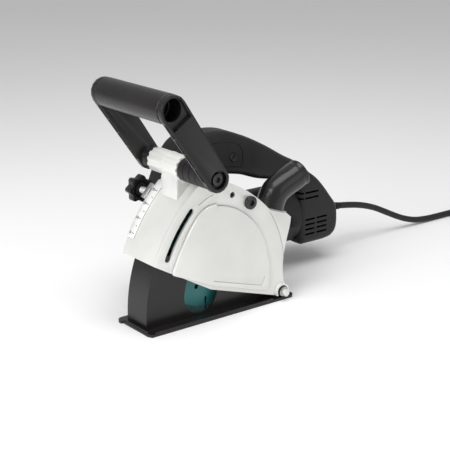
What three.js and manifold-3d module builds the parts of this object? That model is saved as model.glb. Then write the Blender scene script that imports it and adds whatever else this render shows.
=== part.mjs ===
// Twin-disc wall chaser: a sole and wheel box on the floor, a plunging guard hinged at its rear,
// a bevel-geared motor with a D-handle beside the guard, and a tilting front handle above it.
// Millimetres. +X is the cutting direction, +Y the side with the guard's cover, +Z up.
// The origin is on the sole's underside, below the plunge hinge, in the guard's middle plane.
import * as THREE from 'three';
import { mergeVertices } from 'three/addons/utils/BufferGeometryUtils.js';
import Module from 'manifold-3d';

const wasm = await Module();
wasm.setup();

// Driving dimensions.
const GAP = 0.3; // clearance between pieces that touch
const DISC_R = 62.5; // 125 mm diamond discs
const DISC_T = 2.2;
const DISC_Y = [-8.5, 8.5]; // middle planes of the two discs
const HINGE = { x: 0, z: 10 }; // plunge hinge, axis along Y
const PLUNGE = 17.6; // degrees of travel, 30 mm at the discs
const SPINDLE = { x: 91, z: 63 }; // at rest
const SPINDLE_R = Math.hypot(SPINDLE.x - HINGE.x, SPINDLE.z - HINGE.z);
const SPINDLE_A = deg(Math.atan2(SPINDLE.z - HINGE.z, SPINDLE.x - HINGE.x));
const SOLE = { x0: -18, x1: 183, y0: -29, y1: 33.5, t: 3 };
// Wheel box: half width, wall, front radius and top angle; a tab above it holds the guide pin.
const BOX = { half: 18, wall: 2, r: 175, top: 21.8, tab: 172.9, tabTop: 27.4 };
const NOTCH_R = 22; // clearance for the spindle's nut and flange
const GUARD = { y0: -31, y1: 26.6, r: 183, wall: 3, low: 20.9, high: 52 };
const COVER = { y0: 26.9, y1: 30, panel: 33 };
const CROWN = { x: 142.6, z: -6.7, r: 170 }; // arc of the guard's top edge
const SLOT = { r: 170, half: 3.5, near: [24.4, 43.1], far: [25, 43.8] };
const BOSS_R = 9.3;
const PIN_R = 4;
const STOP_A = 43.2; // depth stop on the scale at full depth, degrees about the hinge
const STOP_R = 180.5;
const MOTOR = { y: -69, z: SPINDLE.z, r: 36, wall: 3, x0: -86, x1: 57.2 };
const GRIP_PIVOT = { x: 121, z: 169 }; // front handle's axis, along Y
const ARM = { lean: 56.2, length: 94, low: 13.6, high: 15.3, near: [66, 73], far: [-54, -47] };
const GRIP_R = 15.5;
const HUB = { r: 13.2, y0: -36, y1: 17.5 };
const DUCT = { x: -6.7, z: 100.1, tilt: 18.6, r: 20, bore: 14.8 }; // dust duct's mouth
const NOZZLE_R = 16.3;
const CORD_R = 4;
const COIL = { x: -452, y: -11, mid: 58, in: 30, out: 62, h: 16.3 }; // mid is its outer turn's centreline

const part = new THREE.Group();

// ---------------------------------------------------------------- helpers

function deg(radians) {
  return THREE.MathUtils.radToDeg(radians);
}

function rad(degrees) {
  return THREE.MathUtils.degToRad(degrees);
}

function finish(colour, roughness, metalness) {
  return () => new THREE.MeshStandardMaterial({ color: colour, roughness, metalness });
}

const FINISH = {
  guard: finish(0xc4c2bb, 0.42, 0.35),
  strip: finish(0xe8e7e3, 0.4, 0.2),
  base: finish(0x2b2827, 0.5, 0.1),
  handle: finish(0x242223, 0.45, 0),
  body: finish(0x343133, 0.6, 0),
  nozzle: finish(0x1c1a1b, 0.3, 0),
  disc: finish(0x126c6b, 0.4, 0.3),
  steel: finish(0xb9bbbd, 0.35, 0.9),
  darkSteel: finish(0x2d2d2e, 0.4, 0.7),
  brass: finish(0xb08d4a, 0.35, 0.9),
  copper: finish(0xb2673b, 0.4, 0.9),
  iron: finish(0x6d6d70, 0.5, 0.8),
  rubber: finish(0x1a1a1b, 0.8, 0),
  red: finish(0x8c2b22, 0.5, 0),
};

// Welds a geometry's vertices, drops flat triangles and turns its faces out.
function weld(geometry) {
  const g = geometry.index ? geometry.toNonIndexed() : geometry.clone();
  g.deleteAttribute('normal');
  g.deleteAttribute('uv');
  const welded = mergeVertices(g, 1e-4);
  const p = welded.attributes.position;
  const kept = [];
  let volume = 0;
  const a = new THREE.Vector3();
  const b = new THREE.Vector3();
  const c = new THREE.Vector3();
  for (let i = 0; i < welded.index.count; i += 3) {
    const [u, v, w] = [welded.index.getX(i), welded.index.getX(i + 1), welded.index.getX(i + 2)];
    if (u === v || v === w || u === w) {
      continue;
    }
    kept.push(u, v, w);
    a.fromBufferAttribute(p, u);
    b.fromBufferAttribute(p, v);
    c.fromBufferAttribute(p, w);
    volume += a.dot(b.cross(c));
  }
  if (volume < 0) {
    kept.reverse();
  }
  welded.setIndex(kept);
  return welded;
}

function solid(geometry) {
  const g = weld(geometry);
  const vertProperties = new Float32Array(g.attributes.position.array);
  const triVerts = new Uint32Array(g.index.array);
  return new wasm.Manifold(new wasm.Mesh({ numProp: 3, vertProperties, triVerts }));
}

function shape(manifold) {
  const mesh = manifold.getMesh();
  const g = new THREE.BufferGeometry();
  g.setAttribute('position', new THREE.BufferAttribute(mesh.vertProperties, 3));
  g.setIndex(new THREE.BufferAttribute(mesh.triVerts, 1));
  return g;
}

function join(...geometries) {
  return shape(geometries.map(solid).reduce((a, b) => a.add(b)));
}

function cut(geometry, ...tools) {
  return shape(tools.map(solid).reduce((a, b) => a.subtract(b), solid(geometry)));
}

function common(a, b) {
  return shape(solid(a).intersect(solid(b)));
}

function add(name, geometry, material, parent = part) {
  const g = weld(geometry);
  g.computeVertexNormals();
  const mesh = new THREE.Mesh(g, material());
  mesh.name = name;
  parent.add(mesh);
  return mesh;
}

// Points of an arc in the XZ plane, angles in degrees from +X towards +Z.
function arc(x, z, r, from, to, steps) {
  const points = [];
  for (let i = 0; i <= steps; i += 1) {
    const t = rad(from + ((to - from) * i) / steps);
    points.push([x + r * Math.cos(t), z + r * Math.sin(t)]);
  }
  return points;
}

function round(x, z, r, steps) {
  return arc(x, z, r, 0, 360 - 360 / steps, steps - 1);
}

// Outline of a band along an arc about the hinge, with round ends.
function arcSlot(r, half, from, to, steps = 8) {
  const end = (a, start, stop) => {
    const c = polar(r, a);
    return arc(c[0], c[1], half, start, stop, 5);
  };
  return [
    ...arc(HINGE.x, HINGE.z, r + half, from, to, steps),
    ...end(to, to + 30, to + 150),
    ...arc(HINGE.x, HINGE.z, r - half, to, from, steps),
    ...end(from, from - 150, from - 30),
  ];
}

function polar(r, a) {
  return [HINGE.x + r * Math.cos(rad(a)), HINGE.z + r * Math.sin(rad(a))];
}

// A sector of a ring about the hinge.
function sector(r0, r1, from, to, y0, y1, steps = 4) {
  const outline = [
    ...arc(HINGE.x, HINGE.z, r1, from, to, steps),
    ...arc(HINGE.x, HINGE.z, r0, to, from, steps),
  ];
  return slab(outline, y0, y1);
}

// Extrudes an XZ outline from y0 to y1; a bevel rounds both rims inside that span.
function slab(outline, y0, y1, bevel = 0, holes = [], bevelSteps = 2) {
  const s = new THREE.Shape(outline.map(([x, z]) => new THREE.Vector2(x, z)));
  for (const hole of holes) {
    s.holes.push(new THREE.Path(hole.map(([x, z]) => new THREE.Vector2(x, z))));
  }
  const g = new THREE.ExtrudeGeometry(s, {
    depth: y1 - y0 - 2 * bevel,
    bevelEnabled: bevel > 0,
    bevelThickness: bevel,
    bevelSize: bevel,
    bevelOffset: -bevel,
    bevelSegments: bevelSteps,
    curveSegments: 6,
  });
  g.rotateX(Math.PI / 2);
  g.translate(0, y1 - bevel, 0);
  return g;
}

// Extrudes an XY outline from z0 to z1.
function plate(outline, z0, z1, holes = []) {
  const s = new THREE.Shape(outline.map(([x, y]) => new THREE.Vector2(x, y)));
  for (const hole of holes) {
    s.holes.push(new THREE.Path(hole.map(([x, y]) => new THREE.Vector2(x, y))));
  }
  const g = new THREE.ExtrudeGeometry(s, { depth: z1 - z0, bevelEnabled: false });
  g.translate(0, 0, z0);
  return g;
}

// Round bar along Y, X or Z.
function barY(x, z, r, y0, y1, sides = 16) {
  const g = new THREE.CylinderGeometry(r, r, y1 - y0, sides);
  g.translate(x, (y0 + y1) / 2, z);
  return g;
}

function barX(y, z, r, x0, x1, sides = 16) {
  const g = new THREE.CylinderGeometry(r, r, x1 - x0, sides);
  g.rotateZ(-Math.PI / 2);
  g.translate((x0 + x1) / 2, y, z);
  return g;
}

function block(x0, x1, y0, y1, z0, z1) {
  const g = new THREE.BoxGeometry(x1 - x0, y1 - y0, z1 - z0);
  g.translate((x0 + x1) / 2, (y0 + y1) / 2, (z0 + z1) / 2);
  return g;
}

// Turned piece: profile of [radius, distance along the axis].
function turned(profile, sides = 16) {
  return new THREE.LatheGeometry(profile.map(([r, h]) => new THREE.Vector2(r, h)), sides);
}

function turnedY(x, z, profile, sides = 16) {
  const g = turned(profile, sides);
  g.translate(x, 0, z);
  return g;
}

function turnedX(y, z, profile, sides = 16) {
  const g = turned(profile, sides);
  g.rotateZ(-Math.PI / 2);
  g.translate(0, y, z);
  return g;
}

function ringY(x, z, rIn, rOut, y0, y1, sides = 16) {
  return turnedY(x, z, [[rIn, y0], [rOut, y0], [rOut, y1], [rIn, y1], [rIn, y0]], sides);
}

function ringX(y, z, rIn, rOut, x0, x1, sides = 16) {
  return turnedX(y, z, [[rIn, x0], [rOut, x0], [rOut, x1], [rIn, x1], [rIn, x0]], sides);
}

// Inward copy of a closed outline, by mitred offset; the outline runs anticlockwise.
function inset(outline, distance) {
  const n = outline.length;
  return outline.map((point, i) => {
    const before = outline[(i + n - 1) % n];
    const after = outline[(i + 1) % n];
    const d0 = new THREE.Vector2(point[0] - before[0], point[1] - before[1]).normalize();
    const d1 = new THREE.Vector2(after[0] - point[0], after[1] - point[1]).normalize();
    const normal = new THREE.Vector2(-d0.y - d1.y, d0.x + d1.x).normalize();
    const reach = distance / Math.max(0.35, normal.dot(new THREE.Vector2(-d0.y, d0.x)));
    return [point[0] + normal.x * reach, point[1] + normal.y * reach];
  });
}

// ---------------------------------------------------------------- base: sole, wheel box, hinge pin

function soleAndBox() {
  const r = 7;
  const corner = (x, y, from) => arc(x, y, r, from, from + 90, 5);
  const outline = [
    ...corner(SOLE.x0 + r, SOLE.y0 + r, 180),
    ...corner(SOLE.x1 - r, SOLE.y0 + r, 270),
    [SOLE.x1, -20],
    [SOLE.x1 - 2.5, -19],
    [SOLE.x1 - 2.5, SOLE.y1 - 5],
    [SOLE.x1 - 5, SOLE.y1],
    ...corner(SOLE.x0 + r, SOLE.y1 - r, 90),
  ];
  const inner = BOX.half - BOX.wall;
  const bladeSlot = [[26, -inner], [BOX.r - 4, -inner], [BOX.r - 4, inner], [26, inner]];
  const sole = plate(outline, 0, SOLE.t, [bladeSlot]);
  const lipNear = block(14, SOLE.x1 - 7, SOLE.y1 - 1.9, SOLE.y1, SOLE.t - 1, 4.8);
  const side = [
    [-9, SOLE.t - 1],
    [BOX.r - 0.4, SOLE.t - 1],
    ...arc(HINGE.x, HINGE.z, BOX.r, 0, BOX.top, 10),
    ...arc(HINGE.x, HINGE.z, BOX.tab, BOX.top + 0.4, BOX.tabTop, 3),
    [60, 45],
    [12, 22],
    ...arc(HINGE.x, HINGE.z, 9, 70, 180, 6),
  ];
  const spindleWay = arcSlot(SPINDLE_R, NOTCH_R, SPINDLE_A - PLUNGE - 3.4, SPINDLE_A + 14, 10);
  const pinHole = barY(HINGE.x, HINGE.z, PIN_R - 0.6, -30, 40, 16);
  const wall = (y0) => cut(slab(side, y0, y0 + BOX.wall), slab(spindleWay, y0 - 1, y0 + 3));
  const front = common(
    sector(BOX.r - 2.4, BOX.r, -4, BOX.top, -BOX.half, BOX.half, 12),
    block(100, 200, -40, 40, SOLE.t - 1, 200),
  );
  const guide = barY(...polar(SLOT.r, SLOT.near[0] + 0.4), 2.7, BOX.half - 1, 29, 12);
  return cut(join(sole, lipNear, wall(-BOX.half), wall(inner), front, guide), pinHole);
}

add('wheel_box', soleAndBox(), FINISH.base);

// The pin is pressed into the box's walls and the guard turns on it.
add('hinge_pin', join(
  barY(HINGE.x, HINGE.z, PIN_R - 0.9, -33.5, 33.8, 16),
  barY(HINGE.x, HINGE.z, 5.2, 33.4, 35.2, 20),
), FINISH.steel);
add('hinge_clip', ringY(HINGE.x, HINGE.z, PIN_R - 0.6, 5.6, -32.9, -31.5, 16), FINISH.darkSteel);

// Torsion spring that lifts the guard: a coil on the pin between the walls.
class Helix extends THREE.Curve {
  constructor(radius, pitch, turns) {
    super();
    this.radius = radius;
    this.pitch = pitch;
    this.turns = turns;
  }

  getPoint(t) {
    const a = 2 * Math.PI * this.turns * t;
    const y = this.pitch * this.turns * (t - 0.5);
    return new THREE.Vector3(this.radius * Math.cos(a), y, this.radius * Math.sin(a));
  }
}

function tube(curve, r, steps, sides = 8) {
  const section = new THREE.Shape();
  for (let i = 0; i < sides; i += 1) {
    const a = (2 * Math.PI * i) / sides;
    const at = [r * Math.cos(a), r * Math.sin(a)];
    if (i === 0) {
      section.moveTo(...at);
    } else {
      section.lineTo(...at);
    }
  }
  section.closePath();
  return new THREE.ExtrudeGeometry(section, { steps, extrudePath: curve, bevelEnabled: false });
}

const spring = tube(new Helix(5.6, 4.4, 5), 1.2, 45, 5);
spring.translate(HINGE.x, 0, HINGE.z);
add('plunge_spring', spring, FINISH.darkSteel);

// ---------------------------------------------------------------- guard and wheel cover

// The guard's outline, anticlockwise from its lower front corner.
function guardOutline() {
  return [
    ...arc(HINGE.x, HINGE.z, GUARD.r, GUARD.low, GUARD.high, 12),
    ...arc(CROWN.x, CROWN.z, CROWN.r, 104, 137.6, 10),
    [-7, 100],
    [-12.9, 95],
    [-10.7, 82],
    [-5.4, 63.2],
    [-2.5, 47.2],
    [-2.4, 31.8],
    ...arc(HINGE.x, HINGE.z, BOSS_R, 130, 221.8, 6),
    [0, 3.8],
    [99.1, 34.5],
  ];
}

// The hollow inside the case; it runs out of the bottom.
function guardHollow() {
  const w = GUARD.wall;
  return [
    ...arc(HINGE.x, HINGE.z, GUARD.r - w, 12, GUARD.high, 12),
    ...arc(CROWN.x, CROWN.z, CROWN.r - w, 105, 136.6, 10),
    [-6.5, 97],
    [-9.6, 93.6],
    [-7.7, 82],
    [-2.4, 63.2],
    [0.6, 47.2],
    [0.7, 31.8],
    [3, 23],
    ...arc(HINGE.x, HINGE.z, 12, 60, -60, 6),
    [20, -20],
  ];
}

function ductBar(r, h0, h1, sides = 20) {
  const g = new THREE.CylinderGeometry(r, r, h1 - h0, sides);
  g.translate(0, (h0 + h1) / 2, 0);
  g.rotateX(Math.PI / 2);
  g.rotateY(rad(-DUCT.tilt));
  g.translate(DUCT.x, 0, DUCT.z);
  return g;
}

function guardCase() {
  const shell = slab(guardOutline(), GUARD.y0, GUARD.y1);
  const hollow = slab(guardHollow(), GUARD.y0 + GUARD.wall, GUARD.y1 + 5);
  const body = cut(join(shell, ductBar(DUCT.r, -24, 0)), hollow, ductBar(DUCT.bore, -40, 5));
  const farBoss = common(
    barY(HINGE.x, HINGE.z, BOSS_R, GUARD.y0, -BOX.half - 0.6, 32),
    slab(guardOutline(), GUARD.y0, GUARD.y1),
  );
  return cut(
    join(body, farBoss),
    slab(arcSlot(SLOT.r, SLOT.half, ...SLOT.far), GUARD.y0 - 1, GUARD.y0 + 5),
    barY(SPINDLE.x, SPINDLE.z, 26, GUARD.y0 - 1, GUARD.y0 + 5, 32),
    block(-20, 20, -BOX.half - 0.6, GUARD.y1 + 5, -5, 29),
    barY(HINGE.x, HINGE.z, PIN_R, -40, 40, 20),
  );
}

// Pillars inside the case that the cover's screws go into.
const SCREWS = [{ x: 46.7, z: 122.6, head: 7.3 }, { x: 69.9, z: 134.8, head: 3.2 }];

function guardWithPillars() {
  const pillars = SCREWS.map(({ x, z }) => barY(x, z, 6.2, GUARD.y0 + 1, GUARD.y1, 12));
  const holes = SCREWS.map(({ x, z }) => barY(x, z, 2.4, 0, 40, 8));
  return cut(join(guardCase(), ...pillars), ...holes);
}

add('guard_case', guardWithPillars(), FINISH.guard);

// Raised middle panel of the cover.
function panelOutline() {
  return [
    [24, 15.8],
    [97.8, 38.6],
    [149.2, 61.6],
    [149.2, 65.5],
    [139.8, 85.9],
    [129.1, 103.9],
    [117.1, 119.4],
    [110.8, 124.8],
    [103.7, 128],
    [93, 129.4],
    ...arc(102.3, 46.6, 81, 103, 175, 12),
    ...arc(124.4, 34.8, 105.5, 171, 188, 4),
  ];
}

function wheelCover() {
  const cover = slab(guardOutline(), COVER.y0, COVER.y1);
  const panel = slab(panelOutline(), COVER.y1 - 1, COVER.panel, 0.9);
  const boss = barY(HINGE.x, HINGE.z, BOSS_R, BOX.half + 0.6, COVER.panel, 32);
  const bossCut = slab([[-30, -30], [60, -30], [99.1, 34.5], [0, 3.8], [-30, 3.8]], 0, 60);
  const holes = SCREWS.map(({ x, z, head }) => barY(x, z, head > 5 ? 2.9 : head + 0.3, 20, 40, 16));
  return cut(
    join(cover, panel, cut(boss, bossCut)),
    slab(arcSlot(SLOT.r, SLOT.half, ...SLOT.near), COVER.y0 - 1, COVER.panel + 1),
    barY(HINGE.x, HINGE.z, PIN_R, -40, 40, 20),
    ...holes,
  );
}

add('wheel_cover', wheelCover(), FINISH.guard);

// The large screw stands proud of the cover; the small one sits inside its hole.
function socketScrew(x, z, head, y0, y1, shank) {
  const socket = [];
  for (let i = 0; i < 6; i += 1) {
    socket.push([x + head * 0.46 * Math.cos(rad(60 * i)), z + head * 0.46 * Math.sin(rad(60 * i))]);
  }
  return cut(
    join(barY(x, z, head, y0, y1, 20), barY(x, z, shank, 8, y0 + 0.5, 8)),
    slab(socket, y1 - 2.4, y1 + 1),
  );
}

add('cover_screw', socketScrew(SCREWS[0].x, SCREWS[0].z, 7.3, COVER.y1 + GAP, 34.4, 2.1), FINISH.darkSteel);
add('cover_screw_small', socketScrew(SCREWS[1].x, SCREWS[1].z, 3.1, 26.95, 29, 2.1), FINISH.darkSteel);

// Depth scale, a bright strip round the case's far front edge.
add('depth_scale', sector(GUARD.r + GAP, GUARD.r + 1.6, 26.5, 48.4, GUARD.y0 + 0.2, -19, 16), FINISH.strip);

// ---------------------------------------------------------------- depth stop

function stopSlider() {
  const pad = sector(166, 187, STOP_A - 2.8, STOP_A + 2.8, GUARD.y0 - 5.3, GUARD.y0 - GAP);
  const tongue = sector(167.4, 172.6, STOP_A - 0.9, STOP_A + 0.9, GUARD.y0 - 1, -22, 2);
  return cut(join(pad, tongue), barY(...polar(STOP_R, STOP_A), 4.4, -40, -20, 16));
}

add('stop_slider', stopSlider(), FINISH.steel);
add('stop_stud', barY(...polar(STOP_R, STOP_A), 4, -50.2, -31.8, 20), FINISH.steel);

function stopKnob() {
  const [x, z] = polar(STOP_R, STOP_A);
  const lobes = [];
  for (let i = 0; i < 42; i += 1) {
    const a = (2 * Math.PI * i) / 42;
    const r = 13.6 + 1.7 * Math.cos(7 * a);
    lobes.push([x + r * Math.cos(a), z + r * Math.sin(a)]);
  }
  return cut(slab(lobes, -61, -50.5, 1.4, [], 1), barY(x, z, 7, -52.5, -40, 20));
}

add('stop_knob', stopKnob(), FINISH.handle);

// ---------------------------------------------------------------- dust nozzle

// Elbow that plugs into the duct's mouth: a leg along the duct's axis, then a tube to the rear.
class Elbow extends THREE.Curve {
  constructor(points) {
    super();
    this.curve = new THREE.CatmullRomCurve3(points, false, 'centripetal');
  }

  getPoint(t) {
    return this.curve.getPoint(t);
  }
}

const ductAxis = new THREE.Vector3(-Math.sin(rad(DUCT.tilt)), 0, Math.cos(rad(DUCT.tilt)));
const mouth = new THREE.Vector3(DUCT.x, 0, DUCT.z);
const along = (h) => mouth.clone().addScaledVector(ductAxis, h);
const rearward = new THREE.Vector3(-Math.cos(rad(22)), 0, Math.sin(rad(22)));
const bend = along(19);

function nozzlePath(start, end) {
  const points = [along(start), along((start + 8) / 2), along(8)];
  points.push(bend.clone().addScaledVector(ductAxis, -3).addScaledVector(rearward, 3));
  points.push(bend.clone().addScaledVector(rearward, 14));
  points.push(bend.clone().addScaledVector(rearward, 26));
  points.push(bend.clone().addScaledVector(rearward, end));
  return new Elbow(points);
}

function dustNozzle() {
  const outside = join(tube(nozzlePath(GAP, 42), NOZZLE_R, 10, 18), ductBar(DUCT.bore - 0.4, -8, 2, 18));
  const inside = tube(nozzlePath(-1, 44), NOZZLE_R - 2.6, 10, 14);
  return cut(outside, inside, ductBar(DUCT.bore - 2.8, -10, 3, 14));
}

add('dust_nozzle', dustNozzle(), FINISH.nozzle);

// ---------------------------------------------------------------- front handle

// Bracket bolted to the guard's shoulder, with the clamp hub that the handle turns in.
function handleBracket() {
  const leg = [
    ...arc(HINGE.x, HINGE.z, GUARD.r + GAP, 43.8, 52.5, 5),
    [GRIP_PIVOT.x - 9, GRIP_PIVOT.z - 6],
    [GRIP_PIVOT.x + 8, GRIP_PIVOT.z - 2],
    [GRIP_PIVOT.x + 11.5, GRIP_PIVOT.z - 12],
    [GRIP_PIVOT.x + 11, GRIP_PIVOT.z - 24],
  ];
  const teeth = [];
  for (let i = 0; i < 12; i += 1) {
    const a = rad(30 * i);
    const tooth = block(HUB.r - 3.6, HUB.r + 1, -1.6, 1.6, -1.7, 1.7);
    tooth.rotateY(-a);
    teeth.push(tooth);
  }
  const row = (y) => teeth.map((t) => t.clone().translate(GRIP_PIVOT.x, y, GRIP_PIVOT.z));
  return cut(
    join(
      barY(GRIP_PIVOT.x, GRIP_PIVOT.z, HUB.r, HUB.y0, HUB.y1, 20),
      slab(leg, -12, 16),
    ),
    barY(GRIP_PIVOT.x, GRIP_PIVOT.z, 5.4, -60, 60, 16),
    ...row(HUB.y0),
    ...row(HUB.y1),
  );
}

add('handle_bracket', handleBracket(), FINISH.guard);

// Arm outline in its own frame: u along the arm from the pivot, v towards the front.
function armPoint(u, v) {
  const c = Math.cos(rad(ARM.lean));
  const s = Math.sin(rad(ARM.lean));
  return [GRIP_PIVOT.x + c * u + s * v, GRIP_PIVOT.z + s * u - c * v];
}

function armOutline(shrink = 0) {
  const points = [];
  const end = (u, v, r, from, to) => {
    for (let i = 0; i <= 8; i += 1) {
      const t = rad(from + ((to - from) * i) / 8);
      points.push(armPoint(u + r * Math.cos(t), v + r * Math.sin(t)));
    }
  };
  end(ARM.length, 1.4, ARM.high - shrink, 88, -92);
  end(0, 0.2, ARM.low - shrink, -92, -272);
  return points;
}

function armBox(u0, u1, v0, v1, y0, y1) {
  return slab([armPoint(u0, v0), armPoint(u0, v1), armPoint(u1, v1), armPoint(u1, v0)], y0, y1);
}

// Flat arm: slots in its front edge, a screw seat below, and above a hollow open to the grip's bore.
// The far arm has a boss that meets the hub.
function handleArm([y0, y1], outer) {
  const pockets = [0, 1, 2, 3].map((i) => armBox(9 + 20 * i, 27.5 + 20 * i, 7.5, 24, y0 + 3, y1 - 1));
  const boss = outer > 0 ? [y0, y1 - 1] : [y0 + 1, HUB.y0 - GAP];
  const seat = outer > 0 ? [y1 - 5, y1 + 2] : [y0 - 2, y0 + 5];
  const topHollow = common(
    slab(armOutline(2.6), ...seat),
    armBox(76, 120, -30, 30, seat[0] - 1, seat[1] + 1),
  );
  return cut(
    join(slab(armOutline(), y0, y1, 1), barY(GRIP_PIVOT.x, GRIP_PIVOT.z, ARM.low - 1, ...boss, 28)),
    ...pockets,
    barY(GRIP_PIVOT.x, GRIP_PIVOT.z, 9.8, ...seat, 28),
    barY(GRIP_PIVOT.x, GRIP_PIVOT.z, 4.4, y0 - 12, y1 + 12, 16),
    topHollow,
    barY(...armPoint(ARM.length, 1.4), 9, y0 - 5, y1 + 5, 20),
  );
}

add('handle_arm_near', handleArm(ARM.near, 1), FINISH.handle);
add('handle_arm_far', handleArm(ARM.far, -1), FINISH.handle);

const gripAt = armPoint(ARM.length, 1.4);
add('front_grip', ringY(...gripAt, 9.5, GRIP_R, ARM.far[1] + GAP, ARM.near[0] - GAP, 28), FINISH.handle);
add('grip_core', barY(...gripAt, 9.1, ARM.far[1] + 18, ARM.near[0] - 18, 20), FINISH.darkSteel);
add('handle_spacer', cut(
  barY(GRIP_PIVOT.x, GRIP_PIVOT.z, 12.6, HUB.y1 + GAP, ARM.near[0] - GAP, 28),
  barY(GRIP_PIVOT.x, GRIP_PIVOT.z, 4.6, 0, 80, 16),
), FINISH.body);

// Bolt through both arms and the hub, with a hexagon socket head in the near arm's seat.
function handleBolt() {
  const { x, z } = GRIP_PIVOT;
  const socket = [];
  for (let i = 0; i < 6; i += 1) {
    socket.push([x + 3.1 * Math.cos(rad(60 * i)), z + 3.1 * Math.sin(rad(60 * i))]);
  }
  return cut(
    join(barY(x, z, 4, ARM.far[0] - 1, ARM.near[1] - 4, 16), barY(x, z, 6.6, 68.3, 71.8, 28)),
    slab(socket, 69, 75),
  );
}

add('handle_bolt', handleBolt(), FINISH.darkSteel);
add('handle_nut', cut(
  barY(GRIP_PIVOT.x, GRIP_PIVOT.z, 7.4, ARM.far[0] + 0.2, ARM.far[0] + 4.7, 6),
  barY(GRIP_PIVOT.x, GRIP_PIVOT.z, 4.3, -60, -40, 16),
), FINISH.darkSteel);

// ---------------------------------------------------------------- spindle, discs and gear head

const { x: SX, z: SZ } = SPINDLE;

function diamondDisc(y) {
  const slots = 8;
  const outline = [];
  const toothStep = 360 / slots;
  for (let i = 0; i < slots; i += 1) {
    const a = toothStep * i;
    const lip = deg(1 / DISC_R);
    outline.push(...arc(SX, SZ, DISC_R, a + lip, a + toothStep - lip, 5));
    const foot = 48;
    const wide = deg(1 / foot);
    outline.push(...arc(SX, SZ, foot, a + toothStep - wide, a + toothStep + wide, 1));
  }
  const holes = [round(SX, SZ, 11.2, 20)];
  for (let i = 0; i < slots; i += 1) {
    const a = rad(toothStep * (i + 0.5));
    holes.push(round(SX + 33 * Math.cos(a), SZ + 33 * Math.sin(a), 2.6, 6));
  }
  return slab(outline, y - DISC_T / 2, y + DISC_T / 2, 0, holes);
}

add('disc_far', diamondDisc(DISC_Y[0]), FINISH.disc);
add('disc_near', diamondDisc(DISC_Y[1]), FINISH.disc);

const spindleProfile = [
  [0, -97], [6, -97], [6, -64], [7, -64], [7, -44], [7.8, -44], [7.8, -20], [10.6, -20],
  [10.6, -15], [7, -15], [7, 19], [6, 20], [0, 20],
];
add('spindle', turnedY(SX, SZ, spindleProfile), FINISH.steel);
add('inner_flange', turnedY(SX, SZ, [
  [7.3, -14.7], [14, -14.7], [20, -12.2], [20, -9.9], [7.3, -9.9], [7.3, -14.7],
], 20), FINISH.steel);

const SPACERS = 3;
const spacerRoom = DISC_Y[1] - DISC_Y[0] - DISC_T - GAP;
for (let i = 0; i < SPACERS; i += 1) {
  const y0 = DISC_Y[0] + DISC_T / 2 + GAP + (spacerRoom / SPACERS) * i;
  add(`spacer_ring_${i + 1}`, ringY(SX, SZ, 7.3, 18, y0, y0 + spacerRoom / SPACERS - GAP), FINISH.steel);
}

function lockNut() {
  const nut = turnedY(SX, SZ, [
    [7.3, DISC_Y[1] + 1.4], [19, DISC_Y[1] + 1.4], [19, 13], [11, 17], [7.3, 17], [7.3, DISC_Y[1] + 1.4],
  ], 20);
  const keyHoles = [0, 90, 180, 270].map((a) => {
    return barY(SX + 14.2 * Math.cos(rad(a)), SZ + 14.2 * Math.sin(rad(a)), 2.2, 11.5, 20, 6);
  });
  return cut(nut, ...keyHoles);
}

add('lock_nut', lockNut(), FINISH.darkSteel);

// Bearing box: flange between the gear head and the guard, and a neck through the guard's wall.
add('bearing_box', turnedY(SX, SZ, [
  [9, -22], [14.3, -22.3], [14.3, -30.4], [16.2, -30.4], [16.2, -39.7], [30.4, -39.7], [30.4, -31.3],
  [25, -31.3], [25, -21.6], [9, -21.6], [9, -22],
], 20), FINISH.iron);
add('spindle_bearing', ringY(SX, SZ, 8.1, 14, -30.2, -22.6, 20), FINISH.steel);

// Bevel gears, 24 teeth on 8, with running clearance between them.
const GEAR_TEETH = 24;
const PINION_TEETH = 8;

function toothed(tipR, rootR, teeth, centre) {
  const points = [];
  for (let i = 0; i < teeth; i += 1) {
    const step = 360 / teeth;
    const at = (r, f) => points.push([
      centre[0] + r * Math.cos(rad(step * (i + f))),
      centre[1] + r * Math.sin(rad(step * (i + f))),
    ]);
    at(rootR, -0.35);
    at(tipR, -0.15);
    at(tipR, 0.15);
    at(rootR, 0.35);
  }
  return points;
}

function bevelGear() {
  const profile = [[7.3, -62.2], [11, -62.2], [27, -59], [27, -50], [7.3, -50], [7.3, -62.2]];
  const cone = turnedY(SX, SZ, profile, 16);
  return common(cone, slab(toothed(26.4, 23.5, GEAR_TEETH, [SX, SZ]), -64, -46));
}

function pinion() {
  const teeth = slab(toothed(8.4, 6.2, PINION_TEETH, [0, 0]), 0, 13);
  teeth.rotateZ(-Math.PI / 2);
  teeth.translate(69, MOTOR.y, MOTOR.z);
  const cone = turnedX(MOTOR.y, MOTOR.z, [[5.3, 69], [8.4, 69], [6.2, 82], [5.3, 82], [5.3, 69]], 20);
  return common(teeth, cone);
}

add('bevel_gear', bevelGear(), FINISH.steel);
add('bevel_pinion', pinion(), FINISH.steel);

const LOCK_Y = -64;

function gearHead() {
  const outside = join(
    barX(MOTOR.y, MOTOR.z, 37, 57.8, 96, 28),
    turnedY(SX, SZ, [[0, -100], [18, -100], [24, -94], [33, -78], [35, -73], [35, -40], [0, -40]], 28),
  );
  return cut(
    outside,
    barX(MOTOR.y, MOTOR.z, 31.5, 50, 92, 24),
    barY(SX, SZ, 31.6, -72, -30, 24),
    barY(SX, SZ, 20, -88, -70, 20),
    barY(SX, SZ, 9.8, -98, -80, 18),
    barX(LOCK_Y, MOTOR.z, 5.4, 110, 150, 16),
  );
}

add('gear_head', gearHead(), FINISH.body);

// Button that pushes a pin into the gear to hold the spindle for a disc change.
add('spindle_lock', turnedX(LOCK_Y, MOTOR.z, [
  [0, SX + 31.4], [5, SX + 31.4], [5, SX + 38.4], [4, SX + 39.6], [0, SX + 39.6],
], 20), FINISH.handle);

// ---------------------------------------------------------------- motor

const { y: MY, z: MZ } = MOTOR;

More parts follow.
